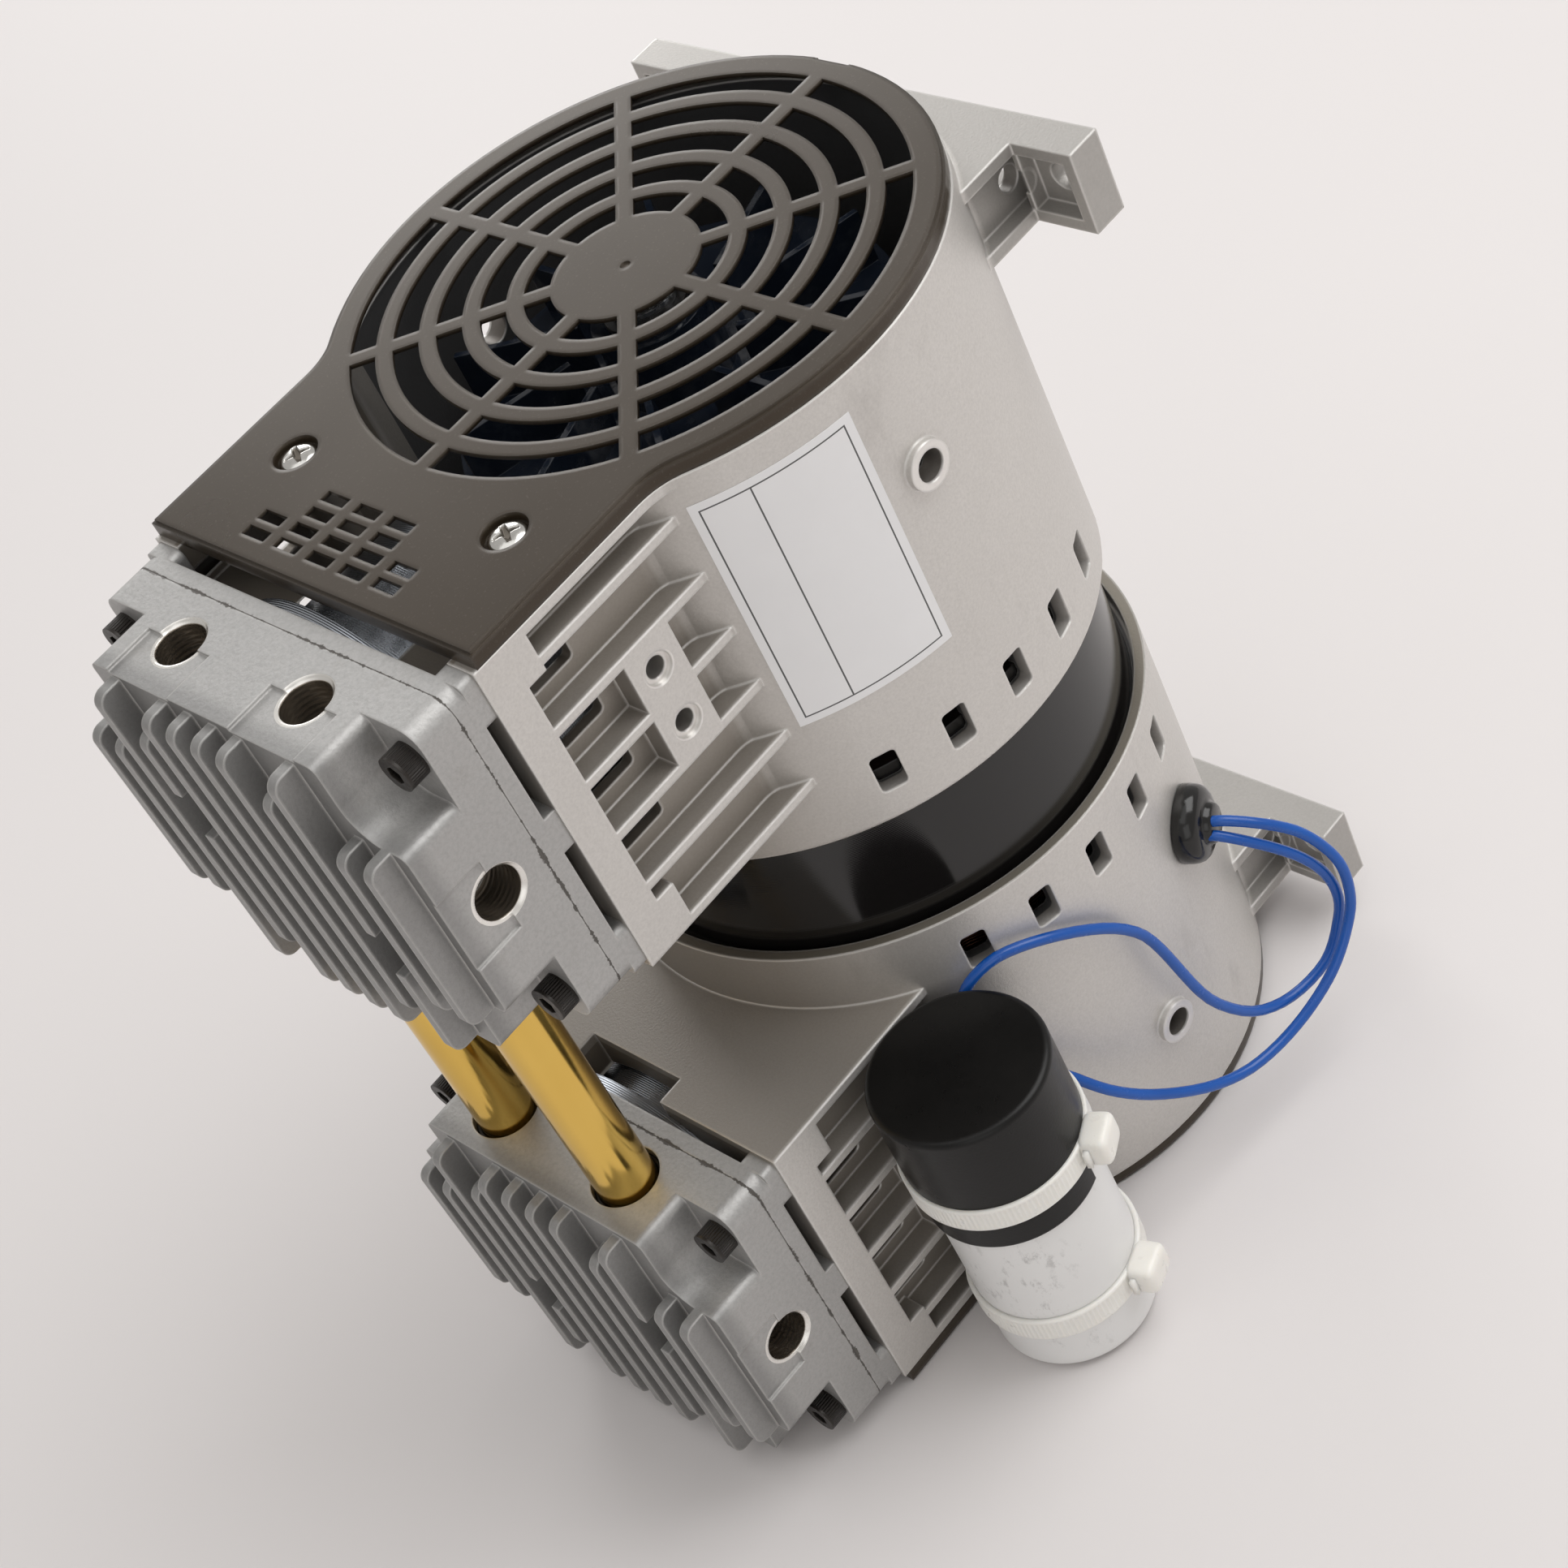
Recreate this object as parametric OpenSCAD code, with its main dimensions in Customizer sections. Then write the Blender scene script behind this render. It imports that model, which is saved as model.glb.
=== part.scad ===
// Oil-less twin piston air pump, standing on its lower fan cover.
// Z is the motor axis. The two pump ends mirror each other about mid height,
// so every shape is drawn for the upper end, with Z measured from mid height.
// The cylinders point toward -X and the feet toward +X.

/* [Overall] */
// Height over both fan covers
overall_h = 252; // [250:0.5:254]
// Outside diameter of the motor drum
drum_d = 140; // [138:0.5:142]
// Distance between the two cylinder axes
cylinder_pitch = 157.5; // [157:0.25:158]
// Shaft axis to the seam of the cylinder head
seam_x = 107; // [106.5:0.25:108]
// Shaft axis to the mounting face of the feet
foot_x = 74; // [73.5:0.25:75]

/* [Drum] */
// Wall of the drum
drum_wall = 4; // [3.5:0.1:4.2]
// Height of the stator band left bare between the drums
band_h = 34.6; // [33:0.2:36]
// Wall of the drum at its open rim
rim_wall = 2.8; // [2.4:0.1:3.2]
// Angle between two air windows
window_step = 14.6; // [14:0.1:15]
// Height of an air window
window_h = 10.3; // [9:0.1:11]
// Width of an air window
window_w = 6.2; // [5.5:0.1:7]
// Height of an air window above mid height
window_z = 30; // [29:0.1:31]
// Outside diameter of the side boss
boss_d = 11; // [10:0.1:12]
// Bore of the side boss
boss_bore_d = 7.2; // [6.5:0.1:7.6]
// Height of the side boss above mid height
boss_z = 91; // [88:0.5:93]

/* [Neck] */
// Width of the neck across the cylinder
neck_w = 105; // [104.5:0.25:106]
// Shaft axis to the end face of the neck
neck_x = 99.75; // [99.5:0.05:100]
// Cylinder axis to the underside of the neck
neck_drop = 44.1; // [43.5:0.1:44.6]
// Thickness of the end frame of the neck
frame_t = 8.4; // [8:0.1:9]
// Depth of the flank between its ribs
recess_d = 6.3; // [5.6:0.1:6.4]
// Wall of the flank
flank_wall = 3; // [2.7:0.1:3.2]
// Thickness of a flank rib
rib_t = 2.2; // [1.8:0.1:2.6]
// Distance between flank ribs
rib_pitch = 15.35; // [15.2:0.05:15.45]
// Length of a flank slot
slot_l = 12; // [10:0.25:12.5]
// Height of a flank slot
slot_h = 5; // [4:0.1:6]

/* [Feet] */
// Distance between foot holes along the motor
foot_pitch_z = 213; // [212:0.5:214]
// Distance between foot holes across the motor
foot_pitch_y = 116.5; // [116:0.25:117]
// Width over a foot
foot_w = 134; // [133.5:0.25:136]
// Height of a foot
foot_h = 20.5; // [20:0.1:21.5]
// Diameter of a foot hole
foot_hole_d = 6.6; // [6:0.1:7.4]
// Depth of the foot bar
foot_bar_t = 9; // [8.6:0.1:9.4]

/* [Cylinder and head] */
// Bore of the cylinder
bore_d = 60; // [59.6:0.1:60.4]
// Stroke of the piston
stroke = 12; // [11.6:0.1:12.4]
// Width of a cylinder head
head_w = 104; // [103.5:0.25:104.5]
// Height of a cylinder head
head_h = 86; // [85.5:0.25:86.4]
// Depth of a cylinder head without its fins
head_t = 24; // [23.6:0.1:25]
// Length of a cooling fin
fin_l = 6.4; // [5.5:0.1:7]
// Side of a head to the middle of its outermost fin
fin_edge = 5.8; // [5.4:0.1:6.6]
// Thickness of a cooling fin
fin_t = 2.8; // [2.2:0.1:3.2]
// Diameter of the pipe thread at a port, at its mouth
port_d = 13.2; // [12.8:0.1:13.4]
// Side of the port block to the axis of a port
port_inset = 16.8; // [16.3:0.1:17.3]
// Outside diameter of the connecting tubes
tube_d = 14.4; // [14:0.1:14.8]
// Diameter of the sockets for the connecting tubes
socket_d = 16.8; // [16.6:0.1:17]
// Thread diameter of the head screws
head_screw_d = 5; // [4.8:0.1:5.2]

/* [Fan covers] */
// Thickness of a fan cover with its skirt
cover_h = 4; // [3.8:0.1:4.4]
// Diameter of the grille opening
grille_d = 126; // [125:0.5:127]
// Diameter of the plain centre of the grille
grille_hub_d = 34; // [33:0.5:35]
// Width of a grille spoke
spoke_w = 4; // [3.5:0.1:4.5]
// Shaft axis to the straight end of a cover
cover_x = 98.5; // [98:0.1:99]

/* [Motor] */
// Diameter of the stator core
stator_d = 131; // [130.8:0.1:131.4]
// Length of the stator core
stator_l = 56; // [55:0.5:57]
// Bore of the stator core
stator_bore = 74; // [73:0.5:75]
// Air gap between stator and rotor
air_gap = 0.4; // [0.35:0.05:0.6]
// Diameter of the shaft in its bearings
shaft_d = 17; // [16.6:0.1:17.2]
// Outside diameter of a motor bearing
bearing_d = 40; // [39.5:0.1:40.5]
// Width of a motor bearing
bearing_w = 12; // [11.8:0.1:12.2]

/* [Capacitor] */
// Diameter of the capacitor can
can_d = 40; // [39.6:0.1:40.2]
// Height of the capacitor can
can_h = 83; // [82:0.5:84]
// Diameter of the rubber boot
boot_d = 43.2; // [43:0.1:43.4]
// Diameter of a lead wire
wire_d = 2.7; // [2.5:0.1:2.9]

/* [Hidden] */

fine = 96;
small = 32;
over = 0.5;

// Heights above mid height
mid = overall_h / 2;
cyl_z = cylinder_pitch / 2;
housing_top = mid - cover_h;
rim_z = band_h / 2;
neck_z = cyl_z - neck_drop;
foot_z = foot_pitch_z / 2;

// Radii
drum_r = drum_d / 2;
stator_r = stator_d / 2;
bore_r = bore_d / 2;
throw = stroke / 2;

// Neck and flank
keyhole_fillet = 18;
flank_fillet = 8;
drum_steps = 36;
fillet_steps = 8;
floor_t = 2.6;
lip_h = 2.4;
flank_y = neck_w / 2 - recess_d;
cavity_y = flank_y - flank_wall;
strip_w = 5;
strip_h = 12;
rib_count = 6;
rib_tip_x = sqrt(pow(drum_r, 2) - pow(neck_w / 2, 2));
slot_x = 77;
slot_count = 4;
pad_x = 72;
pad_w = 13.2;
pad_hole_d = 5;
pad_sink_d = 7.4;
pad_sink_h = 1;
notch_w = 30;
notch_d = 7.3;
notch_h = 11;
frame_bore_gap = 1.5;
frame_post_w = 8;
frame_gap_h = 12;

// Drum interior
register_gap = 0.05;
register_l = 6;
spider_z = 48;
spider_t = 6;
spider_hub_r = 27;
spoke_t = 8;
spoke_count = 6;
hub_lip = 2;
hub_lip_gap = 3;
bearing_z = spider_z + hub_lip;
hub_top_gap = 2;
boss_rise = 1.8;
window_round = 1.2;

// Foot details
foot_plate_t = 3;
foot_wall_t = 3;
foot_floor_t = 5;
pedestal_y = 50.5;
pedestal_inset = 4.5;
pedestal_wall = 4;
divider_t = 1.4;
web_thread_d = 6;
web_thread_x = 65;
back_pocket_y = 42;

// Cylinder
barrel_wall = 4.5;
barrel_r = bore_r + barrel_wall;
barrel_end_x = 54;
plate_round = 5;
window_gap = 3.15;
post_w = 9;
post_h = 12.5;
side_post_h = 9.8;
collar_inset = 1;
collar_r = min(head_w, head_h) / 2 - collar_inset;
plate_x = neck_x + window_gap;

// Head
seat_t = 9.3;
seat_x = seam_x + seat_t;
front_x = seam_x + head_t;
block_inset_y = 14.2;
block_inset_z = 19.4;
top_block_y = head_w / 2 - block_inset_y;
side_block_z = head_h / 2 - block_inset_z;
corner_fillet = 8;
block_round = 2.5;
edge_round = 2;
screw_inset_y = 5.4;
screw_inset_z = 8;
screw_y = head_w / 2 - screw_inset_y;
screw_z = head_h / 2 - screw_inset_z;
port_y = top_block_y - port_inset;
port_x = seam_x + 11.7;
port_minor_share = 0.87;
port_sink_h = 0.9;
port_l = 12;
passage_d = 9;
socket_l = 11;
tube_l_in = 9.7;
pad_step = 0.8;
pad_in = 10.7;
pad_out = 10.5;
pad_y0 = port_y - pad_in;
pad_y1 = port_y + pad_out;
side_pad_z = 9.8;
pocket_inset = 3;
pocket_r = min(head_w, head_h) / 2 - pocket_inset;
pocket_d = 3;
chamber_x = 8;
chamber_inset = 17;
chamber_z = head_h / 2 - chamber_inset;
chamber_y0 = 3;
chamber_y1 = 25;
fin_tall_inset = 1.6;
fin_port_inset = 10.5;
fin_round = 3;
fin_count = 12;
fin_pitch = (head_w - 2 * fin_edge) / (fin_count - 1);
fin_gap_z0 = 3;
fin_gap_z1 = 16;

// Valve gear
valve_plate_t = 2.4;
valve_plate_gap = 0.3;
valve_hole_d = 7;
valve_hole_y = 12;
valve_hole_z = 9;
gasket_w = 4;
reed_t = 0.3;
reed_w = 10;
reed_l = 34;
reed_screw_d = 3;

// Piston, rod and crank
piston_gap = 0.4;
ring_gap = 0.06;
crown_t = 5;
crown_gap = 1;
piston_l = 37;
skirt_wall = 4.1;
groove_d = 1.5;
groove_gap = 0.1;
seal_x = 3;
seal_w = 3;
guide_x = 27;
guide_w = 7;
pin_x = 27.5;
pin_r = 5;
pin_gap = 0.05;
pin_half = 13.5;
lug_r = 8;
lug_z = 14.5;
rod_l = 72.5;
rod_t = 12;
rod_shank_w = 15;
rod_web_w = 8;
rod_web_t = 3.5;
eye_r = 9;
eye_half = 10;
big_ring_wall = 5;
big_bearing_d = 47;
big_bearing_w = 9;
journal_r = 15;
journal_gap = 0.03;
collar_disc_r = 19;
collar_t = 4;
rod_side_gap = 0.75;
weight_r = 42;
weight_t = 7.5;
weight_share = 0.94;
shaft_neck_r = 7.5;
shaft_end = 118;
shaft_fit = 0.03;
race_share = 0.3;
ball_share = 0.27;
ball_gap = 0.05;
ball_count = 8;

// Rotor and windings
end_ring_t = 7;
end_ring_r = 33;
end_ring_in = 22;
core_slot_w = 3;
core_slot_d = 12;
core_slot_count = 24;
winding_z = 44;
winding_out = 56;
winding_in = 41;
bolt_ring_r = 60.5;
bolt_r = 2.5;
bolt_hole_gap = 0.25;
bolt_head_r = 4.2;
bolt_head_h = 4;
bolt_count = 4;
bolt_turn = 45;
lug_out_r = 5;
lug_web_share = 0.8;

// Fans
fan_z = 94.5;
fan_l = 20;
fan_r = 51;
fan_disc_t = 1.8;
fan_hub_r = 13;
blade_t = 1.6;
blade_count = 10;
blade_in = 20;
blade_h = 15;
blade_lean = 18;
clip_r = 9.5;
clip_t = 1.2;
clip_slit = 3;

// Cover details
skirt_t = 1.8;
top_t = 1.1;
edge_step = 0.7;
ring_w = 4;
slot_rings = 5;
spoke_pairs = 4;
grille_step = (grille_d - grille_hub_d + 2 * ring_w) / 2 / slot_rings;
screw_x = 70.6;
cover_screw_y = 33.9;
cover_screw_r = 2;
cover_head_r = 4.4;
cover_head_h = 2.2;
cover_sink_r = 5.2;
cover_sink_h = 2.4;
cover_screw_l = 14;
cover_screw_post_r = 5;
cover_boss_r = 6.6;
cover_screw_post_l = 20;
cover_vent_l = 7.4;
cover_vent_w = 2.7;
cover_vent_px = 4.65;
cover_vent_py = 10.65;
cover_vent_x = 77.6;
cover_vent_shift = 1.6;
cover_notch_w = 10.5;
cover_notch_d = 1.6;
dimple_r = 1.2;
dimple_d = 0.4;

// Tubes, seals and screws
tube_wall = 1.2;
o_ring_depth = 2.6;
hex_share = 0.46;
screw_head_share = 1.7;
hex_depth_share = 0.5;
screw_in = 8;
tap_gap = 0.05;
clear_gap = 0.25;

// Capacitor and its ties
can_x = -60.3;
can_gap = 1.7;
can_y = -neck_w / 2 - can_gap - can_d / 2;
can_z = 1;
can_round = 2.5;
boot_z = 53;
boot_top_z = 92;
boot_roof = 2.2;
boot_round = 1.6;
boot_waist = 0.4;
boot_waist_z = 61;
boot_notch_from = -70;
boot_notch_to = -10;
tie_w = 7;
tie_t = 1.3;
boot_tie_z = 61;
can_tie_z = 15;
tie_head_l = 9;
tie_head_w = 8;
tie_head_t = 6;
boot_tie_turn = -63;
can_tie_turn = -71;
terminal_w = 6.3;
terminal_t = 0.8;
terminal_h = 4;
terminal_y = 8;

// Grommet on the lower drum
grommet_turn = -64.4;
grommet_z = -55.3;
grommet_r = 9.6;
grommet_h = 6;
grommet_hole_r = 6.5;
grommet_in = 3;
grommet_nose_r = 5.4;
grommet_nose_h = 2;
grommet_round = 3;

// Rating label
label_w = 63;
label_t = 0.15;
label_lift = 0.02;
label_z = 51.5;
label_from = -129.2;
label_to = -98.9;

// Routes of the two lead wires, from the grommet to the boot
outer_route = [
  [30.6, -67.8, 72.9], [33, -72.6, 73.2], [38, -78, 69.6], [44.3, -83, 62.4], [47.4, -87, 55],
  [48, -90, 48.2], [46.4, -91, 39.7], [42.8, -91, 33.6], [36, -90.4, 26.6], [27.7, -89, 21.5],
  [16.8, -87, 18.3], [4.2, -85, 19], [-8.2, -82.6, 25], [-20.3, -78.4, 34.6], [-27.9, -74.6, 43.6],
  [-32, -70, 50.5], [-36.4, -65, 57.5], [-39.2, -61.4, 64], [-40.4, -60.2, 70], [-42.6, -59.7, 74.5],
  [-45.2, -59.2, 77.6]
];
inner_route = [
  [28.8, -67.9, 70.3], [30.6, -72.6, 70.4], [35.6, -78, 65], [41.7, -83, 56.4], [45.5, -86, 47.3],
  [46.2, -87, 37.8], [43.8, -86, 29.6], [37.1, -85, 22.3], [25.3, -83, 21.3], [14, -81.2, 27.6],
  [5.5, -79, 41.3], [2, -77, 56.9], [-1.3, -75, 70.6], [-9.3, -72.8, 81.2], [-22.4, -69.4, 90.6],
  [-33.2, -65, 94], [-40.2, -61, 90.6], [-43.2, -60, 87], [-45.2, -59.2, 83.4]
];
wire_sides = 8;

// ---- Shared shapes ----

// Draws at the upper or the lower pump end
module upper() { translate([0, 0, mid]) children(); }
module lower() { translate([0, 0, mid]) mirror([0, 0, 1]) children(); }
module both() { upper() children(); lower() children(); }

// Draws at each screw or port of its kind
module at_cover_screws() { for (s = [-1, 1]) translate([-screw_x, s * cover_screw_y, 0]) children(); }
module at_head_screws() {
  for (s = [-1, 1], t = [-1, 1]) translate([0, s * screw_y, t * screw_z]) children();
}
module at_ports() { for (s = [-1, 1]) translate([-port_x, s * port_y, 0]) children(); }
module at_bolts() {
  for (a = [0:360 / bolt_count:359]) rotate(a + bolt_turn) translate([bolt_ring_r, 0, 0]) children();
}

// Box between two corners
module bar(x, y, z) {
  translate([x[0], y[0], z[0]]) cube([x[1] - x[0], y[1] - y[0], z[1] - z[0]]);
}

// Disc standing on z0
module disc(r, z0, z1, sides = fine) {
  translate([0, 0, z0]) cylinder(r = r, h = z1 - z0, $fn = sides);
}

// Ring standing on z0
module ring(r_out, r_in, z0, z1) {
  difference() {
    disc(r_out, z0, z1);
    disc(r_in, z0 - over, z1 + over);
  }
}

// Rod along X on the cylinder axis, its places given as distances toward -X
module rod_x(r, x0, x1, sides = fine) {
  translate([-x1, 0, 0]) rotate([0, 90, 0]) cylinder(r = r, h = x1 - x0, $fn = sides);
}

// Plate across X, drawn in Y and Z, its places given as distances toward -X
module plate_x(x0, x1) {
  translate([-x1, 0, 0]) rotate([90, 0, 90]) linear_extrude(x1 - x0) children();
}

// Rectangle about the origin with round corners
module round_rect(w, h, r) {
  square([w - 2 * r, h], center = true);
  square([w, h - 2 * r], center = true);
  for (sx = [-1, 1], sy = [-1, 1]) translate([sx * (w / 2 - r), sy * (h / 2 - r)]) circle(r, $fn = small);
}

// Points on an arc about c
function arc(c, r, a0, a1, n) = [for (i = [0:n]) let (a = a0 + (a1 - a0) * i / n) c + r * [cos(a), sin(a)]];

// Round drum outline with a straight neck, blended by two concave fillets
module keyhole(r, w, l, fillet = keyhole_fillet) {
  fy = w / 2 + fillet;
  fx = -sqrt(pow(r + fillet, 2) - pow(fy, 2));
  turn = atan2(fy, fx);
  drum = arc([0, 0], r, 0, turn, drum_steps);
  blend = arc([fx, fy], fillet, turn - 180, -90, fillet_steps);
  half = concat(drum, blend, [[-l, w / 2]]);
  polygon(concat(half, [for (i = [len(half) - 1:-1:1]) [half[i][0], -half[i][1]]]));
}

// Tube swept along a route as one closed mesh
function unit(v) = v / norm(v);
function way(p, i) = unit(p[min(i + 1, len(p) - 1)] - p[max(i - 1, 0)]);
function side(t) = unit(cross(t, [0, 1, 0]));
function smooth(p) = [
  for (i = [0:len(p) - 2]) each [p[i],
    i == 0 || i == len(p) - 2 ? (p[i] + p[i + 1]) / 2
      : (9 * (p[i] + p[i + 1]) - p[i - 1] - p[i + 2]) / 16],
  p[len(p) - 1]];
module wire(route, d) {
  p = smooth(route);
  n = len(p);
  pts = [for (i = [0:n - 1]) let (t = way(p, i), u = side(t), v = cross(t, u))
    for (k = [0:wire_sides - 1]) let (a = 360 * k / wire_sides)
      p[i] + d / 2 * (cos(a) * u + sin(a) * v)];
  walls = [for (i = [0:n - 2], k = [0:wire_sides - 1])
    let (a = i * wire_sides + k, b = i * wire_sides + (k + 1) % wire_sides)
      each [[a, b, a + wire_sides], [b, b + wire_sides, a + wire_sides]]];
  first = [[for (k = [wire_sides - 1:-1:0]) k]];
  last = [[for (k = [0:wire_sides - 1]) (n - 1) * wire_sides + k]];
  polyhedron(pts, concat(walls, first, last), convexity = 8);
}

// ---- Fan covers ----

// Hub, rings and spokes of the grille
module grille_bars() {
  circle(grille_hub_d / 2, $fn = fine);
  for (i = [1:slot_rings - 1]) let (r = grille_hub_d / 2 + i * grille_step) difference() {
    circle(r, $fn = fine);
    circle(r - ring_w, $fn = fine);
  }
  for (i = [0:spoke_pairs - 1]) rotate(180 * i / spoke_pairs)
    square([grille_d + over, spoke_w], center = true);
}

module cover_outline(inset) {
  keyhole(drum_r - edge_step / 2 - inset, neck_w - 2 * inset, cover_x - inset);
}

module fan_cover(dimple) {
  difference() {
    union() {
      translate([0, 0, housing_top]) linear_extrude(cover_h - edge_step) cover_outline(0);
      translate([0, 0, mid - edge_step]) linear_extrude(edge_step) cover_outline(edge_step);
    }
    // Space behind the top plate, with bosses left round the screws
    difference() {
      translate([0, 0, housing_top - over]) linear_extrude(cover_h - top_t + over) cover_outline(skirt_t);
      at_cover_screws() disc(cover_boss_r, housing_top - over, mid, small);
    }
    // Grille
    translate([0, 0, housing_top]) linear_extrude(cover_h + over) difference() {
      circle(grille_d / 2, $fn = fine);
      grille_bars();
    }
    if (dimple) disc(dimple_r, mid - dimple_d, mid + over, small);
    // Air slots at the end, three wide in two rows and five wide in the next two
    for (row = [0:3], col = [-2:2]) if (row > 1 || abs(col) < 2)
      translate([-cover_vent_x - row * cover_vent_px, cover_vent_shift + col * cover_vent_py, mid])
        cube([cover_vent_w, cover_vent_l, 2 * cover_h + over], center = true);
    // Sunk screw holes
    at_cover_screws() {
      disc(cover_screw_r + clear_gap, housing_top - over, mid + over, small);
      disc(cover_sink_r, mid - cover_sink_h, mid + over, small);
    }
    // Notch in the rim over the foot
    bar([drum_r - cover_notch_d, drum_r + over], [-cover_notch_w / 2, cover_notch_w / 2],
      [housing_top - over, mid + over]);
  }
}

module upper_fan_cover() { color([0.2, 0.18, 0.16]) upper() fan_cover(true); }
module lower_fan_cover() { color([0.2, 0.18, 0.16]) lower() fan_cover(false); }

// Pan head screws in the sunk holes
module cover_screw() {
  head_z = mid - cover_sink_h;
  difference() {
    union() {
      disc(cover_head_r, head_z, head_z + cover_head_h / 2, small);
      translate([0, 0, head_z + cover_head_h / 2])
        cylinder(r1 = cover_head_r, r2 = cover_head_r / 2, h = cover_head_h / 2, $fn = small);
      disc(cover_screw_r, head_z - cover_screw_l, head_z, small);
    }
    for (a = [0, 90]) rotate(a) translate([0, 0, head_z + cover_head_h])
      cube([cover_head_r, cover_head_r / 4, cover_head_h], center = true);
  }
}

module cover_screws() {
  color([0.75, 0.75, 0.73]) both() at_cover_screws() cover_screw();
}

// ---- Motor housings ----

module foot_casting() {
  z0 = foot_z - foot_h / 2;
  z1 = foot_z + foot_h / 2;
  bar_x = foot_x - foot_bar_t;
  wall_y = pedestal_y - pedestal_inset;
  difference() {
    union() {
      // Top and bottom plates
      for (z = [z0, z1 - foot_plate_t]) {
        bar([bar_x, foot_x], [-foot_w / 2, foot_w / 2], [z, z + foot_plate_t]);
        bar([0, foot_x], [-pedestal_y, pedestal_y], [z, z + foot_plate_t]);
      }
      // Mounting bar, its end walls and dividers, and the side walls of the pedestal
      bar([foot_x - foot_floor_t, foot_x], [-foot_w / 2, foot_w / 2], [z0, z1]);
      for (s = [-1, 1]) {
        translate([0, s * (foot_w - foot_wall_t) / 2, 0])
          bar([bar_x, foot_x], [-foot_wall_t / 2, foot_wall_t / 2], [z0, z1]);
        translate([0, s * pedestal_y, 0]) bar([bar_x, foot_x], [-divider_t / 2, divider_t / 2], [z0, z1]);
        translate([0, s * (wall_y - pedestal_wall / 2), 0])
          bar([0, foot_x], [-pedestal_wall / 2, pedestal_wall / 2], [z0, z1]);
      }
    }
    // Open back between the plates
    bar([foot_x - foot_floor_t - over, foot_x + over], [-back_pocket_y, back_pocket_y],
      [z0 + foot_plate_t, z1 - foot_plate_t]);
  }
}

module neck_casting() {
  hw = neck_w / 2;
  // Box of the neck and its end frame
  translate([0, 0, neck_z]) linear_extrude(housing_top - neck_z)
    keyhole(drum_r - edge_step / 2, 2 * flank_y, neck_x - frame_t + over, flank_fillet);
  bar([-neck_x, -neck_x + frame_t], [-hw, hw], [neck_z, housing_top]);
  // Lip that follows the fan cover
  translate([0, 0, housing_top - lip_h]) linear_extrude(lip_h)
    keyhole(drum_r - edge_step / 2, neck_w, neck_x);
  // Wider ends of the frame
  for (z = [neck_z, housing_top - strip_h])
    bar([-neck_x, -neck_x + frame_t + strip_w], [-hw, hw], [z, z + strip_h]);
  // Ribs that run out onto the drum
  for (i = [0:rib_count - 1]) let (z = neck_z + i * rib_pitch)
    bar([-neck_x, over - rib_tip_x], [-hw, hw], [z, z + rib_t]);
  // Drilled pads on the flanks
  bar([-pad_x, -pad_x + pad_w], [-hw, hw], [neck_z + 2 * rib_pitch, neck_z + 4 * rib_pitch + rib_t]);
}

// Posts for the cover screws, each tied to its flank wall
module cover_screw_posts() {
  z0 = housing_top - cover_screw_post_l;
  at_cover_screws() disc(cover_screw_post_r, z0, housing_top, small);
  for (s = [-1, 1]) translate([-screw_x, s * (cover_screw_y + cavity_y + over) / 2, (z0 + housing_top) / 2])
    cube([cover_screw_post_r, cavity_y + over - cover_screw_y, cover_screw_post_l], center = true);
}

// Bearing hub with its spokes and the lugs for the motor bolts
module spider() {
  r = bearing_d / 2;
  z1 = spider_z + spider_t;
  hub_top = bearing_z + bearing_w + hub_top_gap;
  reach = drum_r - drum_wall + over;
  difference() {
    union() {
      disc(spider_hub_r, spider_z, hub_top);
      for (i = [0:spoke_count - 1]) rotate(360 * (i + 0.5) / spoke_count)
        bar([r, reach], [-spoke_t / 2, spoke_t / 2], [spider_z, z1]);
      at_bolts() {
        disc(lug_out_r, spider_z, z1, small);
        bar([0, reach - bolt_ring_r], lug_out_r * lug_web_share * [-1, 1], [spider_z, z1]);
      }
    }
    disc(r, bearing_z, hub_top + over);
    disc(r - hub_lip_gap, spider_z - over, bearing_z + over);
    at_bolts() disc(bolt_r + bolt_hole_gap, spider_z - over, z1 + over, small);
  }
}

module air_window() {
  translate([0, 0, window_z]) rotate([0, 90, 0]) linear_extrude(drum_r + over)
    round_rect(window_h, window_w, window_round);
}

// Air slots between the ribs and two sunk holes in the pad, on one flank
module flank_openings(s) {
  row_z = neck_z + (rib_t + rib_pitch) / 2;
  wall_y = s * (cavity_y + flank_wall / 2);
  for (i = [1:slot_count]) translate([-slot_x - slot_l / 2, wall_y, row_z + i * rib_pitch])
    rotate([90, 0, 0]) linear_extrude(flank_wall + 2 * over, center = true)
      round_rect(slot_l, slot_h, window_round);
  for (i = [2, 3]) translate([-pad_x + pad_w / 2, s * neck_w / 2, row_z + i * rib_pitch])
    rotate([s * 90, 0, 0]) {
      disc(pad_hole_d / 2, -over, recess_d + flank_wall + over, small);
      disc(pad_sink_d / 2, -over, pad_sink_h, small);
    }
}

// Boss or bore of the drum's side hole
module side_boss(d, l) {
  for (s = [-1, 1]) translate([0, 0, boss_z]) rotate([s * 90, 0, 0]) disc(d / 2, 0, l, small);
}

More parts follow.
